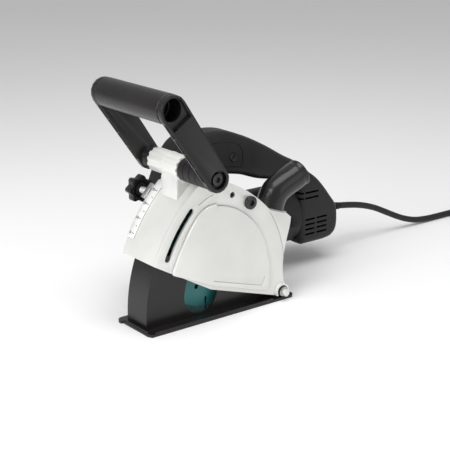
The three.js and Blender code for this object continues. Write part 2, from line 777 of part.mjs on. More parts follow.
function motorHousing() {
  const capHoles = [1, -1].map((side) => {
    return barY(-61, MZ, 8.3, side > 0 ? MY + 26 : MY - 44, side > 0 ? MY + 44 : MY - 26, 20);
  });
  return cut(ringX(MY, MZ, MOTOR.r - MOTOR.wall, MOTOR.r, MOTOR.x0, MOTOR.x1, 28), ...capHoles);
}

add('motor_housing', motorHousing(), FINISH.body);
for (const [name, side] of [['near', 1], ['far', -1]]) {
  const span = (a, b) => (side > 0 ? [MY + a, MY + b] : [MY - b, MY - a]);
  add(`brush_cap_${name}`, barY(-61, MZ, 8, ...span(30.5, 35.2), 20), FINISH.handle);
  add(`brush_holder_${name}`, cut(
    barY(-61, MZ, 6.4, ...span(17, 30.2), 16),
    block(-65, -57, ...span(16, 31), MZ - 2.9, MZ + 2.9),
  ), FINISH.brass);
  add(`carbon_brush_${name}`, block(-64.6, -57.4, ...span(12.9, 26), MZ - 2.6, MZ + 2.6), FINISH.darkSteel);
}
add('stator', ringX(MY, MZ, 22.5, MOTOR.r - MOTOR.wall - 0.6, -28, 34, 20), FINISH.iron);
add('armature_core', ringX(MY, MZ, 5.3, 21.5, -26, 32, 20), FINISH.iron);
add('armature_shaft', barX(MY, MZ, 5, -98, 84, 16), FINISH.steel);
add('commutator', ringX(MY, MZ, 5.3, 12.5, -71, -50, 24), FINISH.copper);

function fan() {
  const blades = [];
  for (let i = 0; i < 8; i += 1) {
    const blade = block(40, 48, -0.9, 0.9, 10, 29);
    blade.rotateX(rad(45 * i));
    blade.translate(0, MY, MZ);
    blades.push(blade);
  }
  return join(ringX(MY, MZ, 5.3, 30, 38.6, 40.6, 20), ringX(MY, MZ, 5.3, 12, 40, 48, 16), ...blades);
}

add('cooling_fan', fan(), FINISH.rubber);
add('motor_bearing_front', ringX(MY, MZ, 5.3, 12, 52, 60, 20), FINISH.steel);
add('bearing_plate', ringX(MY, MZ, 12.4, MOTOR.r - MOTOR.wall - 0.6, 50, 55.6, 20), FINISH.iron);
add('motor_bearing_rear', ringX(MY, MZ, 5.3, 10, -97, -90, 18), FINISH.steel);

// ---------------------------------------------------------------- D-handle in two shells

// Loop of the handle: front foot on the gear head, grip above, rear leg into the rear body.
function loopOutline() {
  return [
    [68, 101.2],
    [110, 101.2],
    [104, 128],
    [84, 168],
    [76, 176.5],
    [62, 181],
    [37, 182.6],
    [14, 181],
    [-10, 173],
    [-30, 164],
    [-50, 153.4],
    [-78, 137],
    [-98, 126.5],
    [-116, 112],
    [-132, 94],
    [-132, 60],
    [-100, 60],
    [-86, 100],
    [-76, 108],
    [-60, 111.5],
    [-40, 115],
    [-8, 126],
    [20, 131],
    [44, 134],
    [56, 130],
    [64, 118],
  ];
}

function rearOutline() {
  return [
    [-85.7, 100],
    [-88, 112],
    [-100, 118],
    [-112, 110.5],
    [-124, 99],
    [-138, 82],
    [-148, 69],
    [-149.5, 60],
    [-149.5, 42],
    [-145, 33],
    [-136, 28],
    [-120, 27],
    [-85.7, 27],
  ];
}

const VENTS = [
  ...[40.2, 46.4, 52.5, 58.7].flatMap((z) => [[-109.5, -94.2, z], [-129, -112.6, z]]),
  ...[86, 92.8].flatMap((z) => [[-91.5, -79, z], [-114.5, -93.2, z]]),
];

function handleShells() {
  const loop = slab(loopOutline(), MY - 18.5, MY + 18.5, 9);
  const rear = slab(rearOutline(), MY - 33, MY + 33, 8);
  const loopHollow = slab(inset(loopOutline(), 3.6), MY - 14.5, MY + 14.5, 6, [], 1);
  const rearHollow = slab(inset(rearOutline(), 3.2), MY - 29.6, MY + 29.6, 5.5, [], 1);
  const motorEnd = barX(MY, MZ, MOTOR.r + GAP + 0.5, -90, 60, 28);
  const vents = VENTS.flatMap(([x0, x1, z]) => [
    block(x0, x1, MY + 20, MY + 40, z - 1.2, z + 1.2),
    block(x0, x1, MY - 40, MY - 20, z - 1.2, z + 1.2),
  ]);
  return cut(
    join(loop, rear),
    loopHollow,
    rearHollow,
    motorEnd,
    barX(MY, MZ, MOTOR.r - 6, -100, -80, 24),
    block(6, 47, MY - 7.5, MY + 7.5, 120, 140),
    barX(MY, 57, 7.2, -160, -140, 16),
    barY(6, 150, 5, MY + 10, MY + 30, 20),
    ...vents,
  );
}

const shells = handleShells();
add('handle_shell_near', common(shells, block(-200, 150, MY + 0.15, MY + 60, 0, 250)), FINISH.body);
add('handle_shell_far', common(shells, block(-200, 150, MY - 60, MY - 0.15, 0, 250)), FINISH.body);

// ---------------------------------------------------------------- switch, trigger, lock button

add('switch_body', block(4, 50, MY - 10, MY + 10, 145, 170), FINISH.red);

function trigger() {
  const outline = [
    [8, 118.5], [18, 115.5], [30, 117], [40, 122], [46, 129], [46, 138], [8, 138],
  ];
  return slab(outline, MY - 6.8, MY + 6.8, 1.6);
}

add('trigger', trigger(), FINISH.nozzle);
add('lock_button', turnedY(6, 150, [
  [0, MY + 13], [4.6, MY + 13], [4.6, MY + 18.8], [3.8, MY + 19.6], [0, MY + 19.6],
], 20), FINISH.handle);

// ---------------------------------------------------------------- cord

function strainRelief() {
  const profile = [[0, 30], [4.4, 30], [6.2, 0], [6.2, -6.8], [9.5, -6.8], [9.5, -9.8], [0, -9.8]];
  const g = turned(profile, 16);
  g.rotateZ(Math.PI / 2);
  g.rotateY(rad(-6));
  g.translate(-150.2, MY, 57);
  return g;
}

add('strain_relief', strainRelief(), FINISH.rubber);

const CORD_ROUTE = [
  [-181, -69, 53.9], [-200, -69, 51.2], [-222, -69, 46.6], [-244, -69.2, 39.4], [-264, -69.4, 30.4],
  [-284, -69.6, 21], [-304, -69.7, 12.8], [-325, -69.7, 7], [-347, -69.6, 4.6], [-370, -69.4, 4.1],
  [-394, -69.2, 4.1], [-415, -69, 4.1],
];
const routePoints = CORD_ROUTE.map((p) => new THREE.Vector3(...p));
const route = new THREE.CatmullRomCurve3(routePoints, false, 'centripetal');
add('cord_run', tube(route, CORD_R, 20, 8), FINISH.rubber);

const coil = turned([[COIL.in, 0], [COIL.out, 0], [COIL.out, COIL.h], [COIL.in, COIL.h], [COIL.in, 0]], 32);
coil.rotateX(Math.PI / 2);
coil.translate(COIL.x, COIL.y, 0);
add('cord_coil', coil, FINISH.rubber);

// The tail leaves the coil's upper layer for the plug beside it.
const TAIL = { x0: COIL.x + 30.8, x1: COIL.x + 51, y: COIL.y + COIL.mid, z: 12.1 };
add('cord_tail', barX(TAIL.y, TAIL.z, CORD_R, TAIL.x0, TAIL.x1, 10), FINISH.rubber);

function plug() {
  const x = TAIL.x1 + GAP;
  const body = turnedX(TAIL.y, TAIL.z, [
    [0, x], [5, x], [6.5, x + 16], [11.5, x + 22], [11.5, x + 40], [9.5, x + 42], [0, x + 42],
  ], 20);
  const pin = (dy) => barX(TAIL.y + dy, TAIL.z, 2.4, x + 41, x + 60, 12);
  return join(body, pin(-6), pin(6));
}

add('plug', plug(), FINISH.rubber);

export default part;
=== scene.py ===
"""Twin-disc wall chaser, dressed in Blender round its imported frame. Metres, +X the cutting direction,
+Y the side with the wheel cover, +Z up from the floor. Run it from an empty file."""
import math

import bmesh
import bpy
from mathutils import Matrix, Vector


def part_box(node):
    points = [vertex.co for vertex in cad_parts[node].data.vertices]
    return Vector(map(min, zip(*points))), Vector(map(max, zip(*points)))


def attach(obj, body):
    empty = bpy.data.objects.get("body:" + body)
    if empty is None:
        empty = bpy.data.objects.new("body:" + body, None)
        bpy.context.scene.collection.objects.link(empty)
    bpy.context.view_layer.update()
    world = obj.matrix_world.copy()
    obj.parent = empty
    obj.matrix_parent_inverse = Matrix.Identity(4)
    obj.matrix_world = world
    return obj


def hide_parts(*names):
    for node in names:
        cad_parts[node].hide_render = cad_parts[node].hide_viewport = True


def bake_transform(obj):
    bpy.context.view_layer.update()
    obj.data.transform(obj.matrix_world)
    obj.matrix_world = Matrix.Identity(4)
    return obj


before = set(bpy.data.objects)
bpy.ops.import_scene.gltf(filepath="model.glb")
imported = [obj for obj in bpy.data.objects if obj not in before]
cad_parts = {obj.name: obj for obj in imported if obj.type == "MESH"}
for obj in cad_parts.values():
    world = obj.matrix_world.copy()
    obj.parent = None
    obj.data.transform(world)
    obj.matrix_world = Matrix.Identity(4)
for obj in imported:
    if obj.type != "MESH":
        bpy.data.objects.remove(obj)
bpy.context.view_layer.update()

scene = bpy.context.scene
MM = 0.001

# ---------------------------------------------------------------- camera
# Level with a bench top, in front of the machine and to the side of its wheel cover, with a long
# lens, so that the guard's front and its cover both show.

camera = bpy.data.objects.new("camera", bpy.data.cameras.new("camera"))
scene.collection.objects.link(camera)
scene.camera = camera
camera.data.lens = 91.1
camera.data.sensor_width = 36
camera.location = (0.7878, 0.9436, 0.4714)
look_at = Vector((0.0824, 0.033, 0.1046))
camera.rotation_euler = (look_at - camera.location).to_track_quat("-Z", "Y").to_euler()
camera.data.clip_start = 0.01

# ---------------------------------------------------------------- cord
# Rubber-sheathed mains lead, 2.5 m long and 8 mm thick. It drops from the strain relief to the
# floor, runs back along it, and the rest is wound in two layers with the plug beside the coil.


class Wire:
    """One value or colour on its way through a material's nodes."""

    def __init__(self, maker, socket):
        self.maker = maker
        self.socket = socket

    def __add__(self, other):
        return self.maker.maths("ADD", self, other)

    __radd__ = __add__

    def __sub__(self, other):
        return self.maker.maths("SUBTRACT", self, other)

    def __rsub__(self, other):
        return self.maker.maths("SUBTRACT", other, self)

    def __mul__(self, other):
        return self.maker.maths("MULTIPLY", self, other)

    __rmul__ = __mul__

    def __truediv__(self, other):
        return self.maker.maths("DIVIDE", self, other)

    def __pow__(self, other):
        return self.maker.maths("POWER", self, other)


class Maker:
    """The nodes of one material, with its Principled shader as out."""

    def __init__(self, name):
        self.material = bpy.data.materials.new(name)
        self.material.use_nodes = True
        self.tree = self.material.node_tree
        self.out = self.tree.nodes["Principled BSDF"]
        self.place = self.make("ShaderNodeTexCoord", output="Object")

    def make(self, kind, inputs=None, output=0, **settings):
        node = self.tree.nodes.new(kind)
        for name, value in settings.items():
            setattr(node, name, value)
        for name, value in (inputs or {}).items():
            self.feed(node.inputs[name], value)
        return Wire(self, node.outputs[output])

    def feed(self, socket, value):
        if isinstance(value, Wire):
            self.tree.links.new(value.socket, socket)
        else:
            socket.default_value = value

    def maths(self, operation, a, b=0.0, clamp=False):
        return self.make("ShaderNodeMath", {0: a, 1: b}, operation=operation, use_clamp=clamp)

    def stretched(self, x, y, z):
        return self.make("ShaderNodeMapping", {"Vector": self.place, "Scale": (x, y, z)})

    def noise(self, scale, detail=2.0, roughness=0.5, vector=None, output="Fac"):
        inputs = {"Vector": vector or self.place, "Scale": scale, "Detail": detail, "Roughness": roughness}
        return self.make("ShaderNodeTexNoise", inputs, output)

    def ramp(self, value, low, high, to_low=0.0, to_high=1.0):
        inputs = {"Value": value, "From Min": low, "From Max": high, "To Min": to_low, "To Max": to_high}
        return self.make("ShaderNodeMapRange", inputs)

    def mix(self, factor, a, b):
        inputs = {0: factor, 6: a, 7: b}
        return self.make("ShaderNodeMix", inputs, 2, data_type="RGBA")

    def bump(self, height, strength, distance):
        inputs = {"Height": height, "Strength": strength, "Distance": distance}
        return self.make("ShaderNodeBump", inputs, "Normal")

    def set(self, **values):
        for name, value in values.items():
            self.feed(self.out.inputs[name.replace("_", " ")], value)
        return self.material


def shade(colour, factor):
    """A colour made lighter or darker, for a material's mottling."""
    return (*[min(1.0, channel * factor) for channel in colour], 1.0)


def moulded(name, colour, rough, grain=2200.0, depth=0.06, blotch=30.0, spread=0.16, wear=0.25, coat=0.0):
    """Moulded plastic, rubber or a thick coating: a fine grain, faint blotches and paler worn edges."""
    m = Maker(name)
    clouds = m.noise(blotch, 3.0, 0.55)
    specks = m.noise(grain, 2.0, 0.6)
    base = m.mix(m.ramp(clouds, 0.3, 0.7), shade(colour, 1 - spread), shade(colour, 1 + spread))
    edge = m.ramp(m.make("ShaderNodeNewGeometry", output="Pointiness"), 0.52, 0.6) * wear
    worn = m.mix(edge * m.ramp(clouds, 0.35, 0.65, 0.3, 1.0), base, shade(colour, 2.6))
    m.out.inputs["Coat Roughness"].default_value = 0.25
    m.out.inputs["Coat Weight"].default_value = coat
    m.out.inputs["Specular IOR Level"].default_value = 0.3
    return m.set(
        Base_Color=worn,
        Roughness=m.ramp(specks + clouds, 0.6, 1.4, rough - 0.06, rough + 0.08),
        Normal=m.bump(specks, depth * 4, 0.0002),
    )


def metal(name, colour, rough, streak=(60, 60, 60), depth=0.05):
    """Bare or plated metal with fine tool marks along one direction and uneven polish."""
    m = Maker(name)
    marks = m.noise(26.0, 4.0, 0.6, m.stretched(*streak))
    stains = m.noise(70.0, 3.0, 0.55)
    m.out.inputs["Metallic"].default_value = 1.0
    return m.set(
        Base_Color=m.mix(m.ramp(stains, 0.3, 0.72), shade(colour, 0.82), shade(colour, 1.1)),
        Roughness=m.ramp(marks * 0.6 + stains * 0.4, 0.35, 0.65, rough - 0.08, rough + 0.1),
        Normal=m.bump(marks, depth * 4, 0.0001),
    )


RUBBER = moulded("black rubber", (0.016, 0.016, 0.017), 0.55, 1500.0, 0.08, 60.0)


def piece(name, mesh, material, body, stands_for=()):
    """Puts a finished mesh in the scene with its material and body, and hides the nodes that it stands for.
    """
    made = bpy.data.objects.new(name, mesh)
    scene.collection.objects.link(made)
    mesh.materials.clear()
    mesh.materials.append(material)
    if stands_for:
        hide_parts(*stands_for)
    if body:
        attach(made, body)
    return made


def smooth(mesh, angle=35):
    """Smooth shading, broken where faces meet at more than angle."""
    mesh.polygons.foreach_set("use_smooth", [True] * len(mesh.polygons))
    mesh.set_sharp_from_angle(angle=math.radians(angle))
    return mesh


def curve_through(points, steps):
    """Centripetal Catmull-Rom curve through points, steps to a span."""
    knots = [Vector(p) for p in points]
    knots = [2 * knots[0] - knots[1], *knots, 2 * knots[-1] - knots[-2]]
    line = []
    for a, b, c, d in zip(knots, knots[1:], knots[2:], knots[3:]):
        t = [0.0]
        for p, q in ((a, b), (b, c), (c, d)):
            t.append(t[-1] + max((q - p).length, 1e-9) ** 0.5)
        for i in range(steps):
            u = t[1] + (t[2] - t[1]) * i / steps
            a1 = a.lerp(b, (u - t[0]) / (t[1] - t[0]))
            a2 = b.lerp(c, (u - t[1]) / (t[2] - t[1]))
            a3 = c.lerp(d, (u - t[2]) / (t[3] - t[2]))
            b1 = a1.lerp(a2, (u - t[0]) / (t[2] - t[0]))
            b2 = a2.lerp(a3, (u - t[1]) / (t[3] - t[1]))
            line.append(b1.lerp(b2, (u - t[1]) / (t[2] - t[1])))
    line.append(knots[-2])
    return line


def mesh_from(bm, name):
    """Turns a finished bmesh into a plain mesh and frees it."""
    mesh = bpy.data.meshes.new(name)
    bm.to_mesh(mesh)
    bm.free()
    return mesh


def swept(name, line, radius, sides, closed_ends=True):
    """Round tube along a line; radius is a number or a function of the share of the way along."""
    bm = bmesh.new()
    rings = []
    across = Vector((0, 1, 0))
    for i, point in enumerate(line):
        along = (line[min(i + 1, len(line) - 1)] - line[max(i - 1, 0)]).normalized()
        across = (across - along * across.dot(along)).normalized()
        up = along.cross(across)
        r = radius(i / (len(line) - 1)) if callable(radius) else radius
        turn = [2 * math.pi * k / sides for k in range(sides)]
        rings.append([bm.verts.new(point + (across * math.cos(a) + up * math.sin(a)) * r) for a in turn])
    for low, high in zip(rings, rings[1:]):
        for k in range(sides):
            bm.faces.new((low[k], low[(k + 1) % sides], high[(k + 1) % sides], high[k]))
    if closed_ends:
        bm.faces.new(rings[0][::-1])
        bm.faces.new(rings[-1])
    bmesh.ops.recalc_face_normals(bm, faces=bm.faces)
    return smooth(mesh_from(bm, name), 50)


CORD_R = 0.004
CORD_ROUTE = [
    (-0.181, -0.069, 0.0539), (-0.2, -0.069, 0.0512), (-0.222, -0.069, 0.0466), (-0.244, -0.0692, 0.0394),
    (-0.264, -0.0694, 0.0304), (-0.284, -0.0696, 0.021), (-0.304, -0.0697, 0.0128), (-0.325, -0.0697, 0.007),
    (-0.347, -0.0696, 0.0046), (-0.37, -0.0694, 0.0041), (-0.394, -0.0692, 0.0041), (-0.415, -0.069, 0.0041),
]
COIL_CENTRE = (-0.452, -0.011)
COIL_RADII = [0.058, 0.05, 0.042, 0.034]
COIL_TURNS = 7.5
COIL_STEPS = 60
LAYERS = (0.0041, 0.0122)


def eased(value, start, end):
    share = min(1.0, max(0.0, (value - start) / (end - start)))
    return share * share * (3 - 2 * share)


def coil_point(turn):
    """Point on the coil after so many turns, clockwise from its side next to the run."""
    inward = sum(eased(turn, k + 0.8, k + 1) for k in range(3))
    outward = sum(eased(turn, k + 0.5, k + 0.7) for k in (4, 5, 6))
    step = COIL_RADII[0] - COIL_RADII[1]
    r = COIL_RADII[0] - step * (inward - outward)
    z = LAYERS[0] + (LAYERS[1] - LAYERS[0]) * eased(turn, 3.7, 3.8)
    a = -math.pi / 2 - 2 * math.pi * turn
    return Vector((COIL_CENTRE[0] + r * math.cos(a), COIL_CENTRE[1] + r * math.sin(a), z))


cord_line = curve_through(CORD_ROUTE, 6)
coil_count = int(COIL_TURNS * COIL_STEPS)
cord_line += [coil_point(COIL_TURNS * i / coil_count) for i in range(coil_count + 1)]
plug_low, plug_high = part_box("plug")
cord_end = Vector((plug_low.x, cord_line[-1].y, cord_line[-1].z))
cord_line += [cord_line[-1].lerp(cord_end, share / 6) for share in range(1, 7)]

cord = bpy.data.objects.new("mains_cord", swept("mains_cord", cord_line, CORD_R, 14))
scene.collection.objects.link(cord)
cord.data.materials.append(RUBBER)
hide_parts("cord_run", "cord_coil", "cord_tail")
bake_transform(cord)

# ---------------------------------------------------------------- plug
# Moulded two-pin plug on the end of the lead, with a ribbed neck.


def lathed(name, profile, steps=48, axis="Y", at=(0, 0, 0), angle=35):
    """Turned solid. The profile is (radius, distance along the axis) and starts and ends on the axis,
    or runs round a closed ring."""
    bm = bmesh.new()
    closed = profile[0] == profile[-1]
    spots = profile[:-1] if closed else profile
    rings = []
    for r, h in spots:
        if r < 1e-7:
            rings.append([bm.verts.new((0, 0, h))])
        else:
            turn = [2 * math.pi * k / steps for k in range(steps)]
            rings.append([bm.verts.new((r * math.cos(a), r * math.sin(a), h)) for a in turn])
    pairs = list(zip(rings, rings[1:] + rings[:1])) if closed else list(zip(rings, rings[1:]))
    for low, high in pairs:
        for k in range(steps):
            j = (k + 1) % steps
            corners = [low[k % len(low)], low[j % len(low)], high[j % len(high)], high[k % len(high)]]
            corners = list(dict.fromkeys(corners))
            if len(corners) > 2:
                bm.faces.new(corners)
    turn = {"X": Matrix.Rotation(math.pi / 2, 4, "Y"), "Y": Matrix.Rotation(-math.pi / 2, 4, "X")}
    bm.transform(Matrix.Translation(at) @ turn.get(axis, Matrix.Identity(4)))
    bmesh.ops.recalc_face_normals(bm, faces=bm.faces)
    return smooth(mesh_from(bm, name), angle)


def settled(name, mesh, modifiers):
    """The mesh after its modifiers, as a plain mesh."""
    holder = bpy.data.objects.new(name, mesh)
    scene.collection.objects.link(holder)
    for kind, values in modifiers:
        added = holder.modifiers.new(kind.lower(), kind)
        for key, value in values.items():
            setattr(added, key, value)
    graph = bpy.context.evaluated_depsgraph_get()
    made = bpy.data.meshes.new_from_object(holder.evaluated_get(graph), depsgraph=graph)
    bpy.data.objects.remove(holder)
    made.name = name
    return made


def merged(*meshes):
    """Several meshes in one, each still a closed shell of its own."""
    bm = bmesh.new()
    for mesh in meshes:
        bm.from_mesh(mesh)
    whole = mesh_from(bm, meshes[0].name)
    return smooth(whole)


def rounded(name, mesh, width, segments=2, corner=30):
    """Breaks the sharp edges of a solid, as a mould or a tumbler does."""
    bm = bmesh.new()
    bm.from_mesh(mesh)
    bmesh.ops.remove_doubles(bm, verts=bm.verts, dist=2e-6)
    bmesh.ops.dissolve_limit(bm, angle_limit=math.radians(0.3), verts=bm.verts, edges=bm.edges)
    bm.to_mesh(mesh)
    bm.free()
    bevel = {"width": width, "segments": segments, "limit_method": "ANGLE",
        "angle_limit": math.radians(corner),
             "harden_normals": True}
    return settled(name, smooth(mesh, 180), [("BEVEL", bevel)])


plug_r = (plug_high.y - plug_low.y) / 2
plug_axis = (0, cord_end.y, (plug_low.z + plug_high.z) / 2)
neck = []
for i in range(7):
    start = plug_low.x + 0.0026 * i
    swell = 0.0048 + 0.0003 * i
    neck += [(swell, start), (swell, start + 0.0013), (swell - 0.0009, start + 0.0014),
        (swell - 0.0009, start + 0.0025)]
plug_profile = [(0, plug_low.x), *neck] + [
    (0.0075, plug_low.x + 0.0185), (0.0105, plug_low.x + 0.0215), (plug_r, plug_low.x + 0.024),
    (plug_r, plug_low.x + 0.0385), (plug_r - 0.0008, plug_low.x + 0.0405),
    (plug_r - 0.002, plug_low.x + 0.042),
    (0, plug_low.x + 0.042),
]
plug_body = lathed("plug_body", plug_profile, 40, "X", plug_axis)
plug_piece = piece("plug_body", plug_body, RUBBER, "base", ["plug"])
PIN = metal("plated pins", (0.62, 0.6, 0.55), 0.3)
pins = []
for side in (-0.006, 0.006):
    reach = (plug_low.x + 0.041, plug_high.x)
    outline = [(0, reach[0]), (0.0024, reach[0]), (0.0024, reach[1] - 0.0014), (0.0014, reach[1]),
        (0, reach[1])]
    pins.append(lathed("pin", outline, 20, "X", (0, plug_axis[1] + side, plug_axis[2])))
plug_pins = piece("plug_pins", merged(*pins), PIN, "base")

# ---------------------------------------------------------------- base: sole, wheel box and guide
# Folded and welded steel box on a flat sole, coated in dark charcoal. The discs come down through
# its slot, and a stud on its near wall runs in the cover's curved slot.


def nodes_copy(name, *nodes):
    """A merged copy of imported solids, with their flat faces joined again."""
    bm = bmesh.new()
    for node in nodes:
        bm.from_mesh(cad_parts[node].data)
    bmesh.ops.remove_doubles(bm, verts=bm.verts, dist=2e-6)
    bmesh.ops.dissolve_limit(bm, angle_limit=math.radians(0.8), verts=bm.verts, edges=bm.edges)
    return mesh_from(bm, name)


CHARCOAL = moulded("charcoal coating", (0.0075, 0.0062, 0.0062), 0.33, 900.0, 0.1, 22.0, 0.2, 0.35, 0.25)


def scaled(points):
    """Millimetres to metres."""
    return [(x * MM, z * MM) for x, z in points]


def arc(x, z, r, start, end, steps):
    """Points of an arc, angles in degrees from +X, sizes in millimetres."""
    turn = [math.radians(start + (end - start) * i / steps) for i in range(steps + 1)]
    return [(x + r * math.cos(a), z + r * math.sin(a)) for a in turn]


def slab(name, outline, y0, y1):
    """Solid with an XZ outline, between two places along Y."""
    bm = bmesh.new()
    near = [bm.verts.new((x, y1, z)) for x, z in outline]
    far = [bm.verts.new((x, y0, z)) for x, z in outline]
    bm.faces.new(near)
    bm.faces.new(far[::-1])
    for i in range(len(outline)):
        j = (i + 1) % len(outline)
        bm.faces.new((near[j], near[i], far[i], far[j]))
    bmesh.ops.recalc_face_normals(bm, faces=bm.faces)
    return mesh_from(bm, name)


def plate(name, outline, z0, z1):
    """Solid with an XY outline, between two heights."""
    mesh = slab(name, outline, z0, z1)
    mesh.transform(Matrix(((1, 0, 0, 0), (0, 0, 1, 0), (0, 1, 0, 0), (0, 0, 0, 1))))
    mesh.flip_normals()
    return mesh


def joined_by(operation, name, mesh, tools):
    holders = []
    for i, tool in enumerate(tools):
        holder = bpy.data.objects.new(f"{name}_tool_{i}", tool)
        scene.collection.objects.link(holder)
        holders.append(holder)
    steps = [("BOOLEAN", {"object": holder, "operation": operation, "solver": "EXACT"}) for holder in holders]
    made = settled(name, mesh, steps)
    for holder in holders:
        bpy.data.objects.remove(holder)
    return made


def joined(name, mesh, *others):
    return joined_by("UNION", name, mesh, others)


def carved(name, mesh, *tools):
    return joined_by("DIFFERENCE", name, mesh, tools)


def bar(name, x, z, r, y0, y1, steps=40):
    """Round bar along Y, sizes in millimetres."""
    outline = [(0, y0 * MM), (r * MM, y0 * MM), (r * MM, y1 * MM), (0, y1 * MM)]
    return lathed(name, outline, steps, "Y", (x * MM, 0, z * MM))


HINGE_Z = 10
SOLE_X, SOLE_Y, SOLE_T = (-18, 183), (-29, 33.5), 3
BOX_HALF, BOX_WALL, BOX_R, BOX_TOP = 18, 2, 175, 21.8
SPINDLE_X, SPINDLE_Z = 91, 63
SPINDLE_R = math.hypot(SPINDLE_X, SPINDLE_Z - HINGE_Z)
SPINDLE_A = math.degrees(math.atan2(SPINDLE_Z - HINGE_Z, SPINDLE_X))
NOTCH_R = 22
corner = 7
sole_outline = [
    *arc(SOLE_X[0] + corner, SOLE_Y[0] + corner, corner, 180, 270, 10),
    *arc(SOLE_X[1] - corner, SOLE_Y[0] + corner, corner, 270, 360, 10),
    (SOLE_X[1], -20), (SOLE_X[1] - 2.5, -19), (SOLE_X[1] - 2.5, SOLE_Y[1] - 5), (SOLE_X[1] - 5, SOLE_Y[1]),
    *arc(SOLE_X[0] + corner, SOLE_Y[1] - corner, corner, 90, 180, 10),
]
inner = BOX_HALF - BOX_WALL
slot_outline = [(26, -inner), (BOX_R - 4, -inner), (BOX_R - 4, inner), (26, inner)]
sole = carved("sole", plate("sole", scaled(sole_outline), 0, SOLE_T * MM),
              plate("slot", scaled(slot_outline), -0.001, 0.004))
lips = [
    plate("lip", scaled([(14, 31.7), (174, 31.7), (174, 33.3), (14, 33.3)]), 0.0025, 0.0048),
    plate("lip", scaled([(178, -17), (179.8, -17), (179.8, 28), (178, 28)]), 0.0025, 0.0046),
]
side_outline = [
    (-9, SOLE_T - 1), (BOX_R - 0.4, SOLE_T - 1), *arc(0, HINGE_Z, BOX_R, 0, BOX_TOP, 36),
    *arc(0, HINGE_Z, 172.9, BOX_TOP + 0.4, 27.4, 8), (60, 45), (12, 22), *arc(0, HINGE_Z, 9, 70, 180, 14),
]
notch_low, notch_high = SPINDLE_A - 21, SPINDLE_A + 14
notch = [
    *arc(0, HINGE_Z, SPINDLE_R + NOTCH_R, notch_low, notch_high, 16),
    *arc(0, HINGE_Z, SPINDLE_R - NOTCH_R, notch_high, notch_low, 16),
]
low_x = SPINDLE_R * math.cos(math.radians(notch_low))
low_z = HINGE_Z + SPINDLE_R * math.sin(math.radians(notch_low))
walls = []
for y0 in (-BOX_HALF, inner):
    wall = slab("wall", scaled(side_outline), y0 * MM, (y0 + BOX_WALL) * MM)
    walls.append(carved("wall", wall, slab("notch", scaled(notch), (y0 - 1) * MM, (y0 + 3) * MM),
                        bar("notch_end", low_x, low_z, NOTCH_R - 0.02, y0 - 1, y0 + 3, 64)))
front_outline = [(BOX_R, 2.2), *arc(0, HINGE_Z, BOX_R, 0, BOX_TOP, 48),
    *arc(0, HINGE_Z, BOX_R - 2.4, BOX_TOP, 0, 48),
                 (BOX_R - 2.4, 2.2)]
front_wall = slab("front", scaled(front_outline), -0.018, 0.018)
guide_a = math.radians(24.8)
guide = bar("guide", 170 * math.cos(guide_a), HINGE_Z + 170 * math.sin(guide_a), 2.7, 17, 29, 28)
base_raw = carved("wheel_box_coated", joined("wheel_box_coated", sole, *lips, *walls, front_wall, guide),
                  bar("pin_hole", 0, HINGE_Z, 3.4, -30, 40))
base_box = rounded("wheel_box_coated", base_raw, 0.0005, 2)
piece("wheel_box_coated", base_box, CHARCOAL, "base", ["wheel_box"])

# ---------------------------------------------------------------- hinge: pin, clip and lifting spring
# Headed steel pin pressed through the box's walls, held by a clip, with a torsion spring on it.

STEEL = metal("turned steel", (0.56, 0.56, 0.57), 0.3, (20, 400, 20))
DARK_STEEL = metal("blackened steel", (0.07, 0.07, 0.072), 0.38, (80, 80, 80))
pin_low, pin_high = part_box("hinge_pin")
pin_at = (0, 0, (pin_low.z + pin_high.z) / 2)
pin_head = 0.0052
pin_r = 0.0031
pin_profile = [
    (0, pin_low.y), (pin_r - 0.0006, pin_low.y), (pin_r, pin_low.y + 0.0006), (pin_r, 0.0334),
    (pin_head, 0.0334),
    (pin_head, 0.0346), (pin_head - 0.0008, pin_high.y), (0.002, pin_high.y), (0.0014, pin_high.y - 0.0007),
    (0, pin_high.y - 0.0007),
]
pin_mesh = lathed("hinge_pin_turned", pin_profile, 40, "Y", pin_at)
piece("hinge_pin_turned", pin_mesh, STEEL, "base", ["hinge_pin"])
spring_line = []
for i in range(5 * 24 + 1):
    a = 2 * math.pi * i / 24
    spring_line.append(Vector((0.0056 * math.cos(a), -0.011 + 0.022 * i / 120,
        pin_at[2] + 0.0056 * math.sin(a))))
spring_mesh = swept("lifting_spring", spring_line, 0.0012, 10)
piece("lifting_spring", spring_mesh, DARK_STEEL, "base", ["plunge_spring"])
clip_mesh = rounded("pin_clip", nodes_copy("pin_clip", "hinge_clip"), 0.0002, 1)
piece("pin_clip", clip_mesh, DARK_STEEL, "base", ["hinge_clip"])

# ---------------------------------------------------------------- guard: case and wheel cover
# Die-cast aluminium halves in pale grey satin paint. The cover is screwed to the case, has a raised
# panel, thin moulded lines and a curved slot, and shows its edge as a dark seam.


def painted(name, colour, rough):
    """Satin paint on a casting: slight orange peel, faint soiling and fine darker flecks."""
    m = Maker(name)
    clouds = m.noise(14.0, 3.0, 0.55)
    peel = m.noise(900.0, 2.0, 0.5)
    base = m.mix(m.ramp(clouds, 0.3, 0.7), shade(colour, 0.93), shade(colour, 1.05))
    specks = m.ramp(m.noise(2600.0, 1.0), 0.62, 0.75, 0.0, 0.12)
    flecked = m.mix(specks, base, shade(colour, 0.7))
    m.out.inputs["Coat Roughness"].default_value = 0.2
    m.out.inputs["Metallic"].default_value = 0.25
    m.out.inputs["Coat Weight"].default_value = 0.15
    return m.set(
        Base_Color=flecked,
        Roughness=m.ramp(clouds + peel * 0.5, 0.5, 1.0, rough - 0.05, rough + 0.08),
        Normal=m.bump(peel, 0.12, 0.0003),
    )


PAINT = painted("pale satin paint", (0.74, 0.74, 0.715), 0.34)


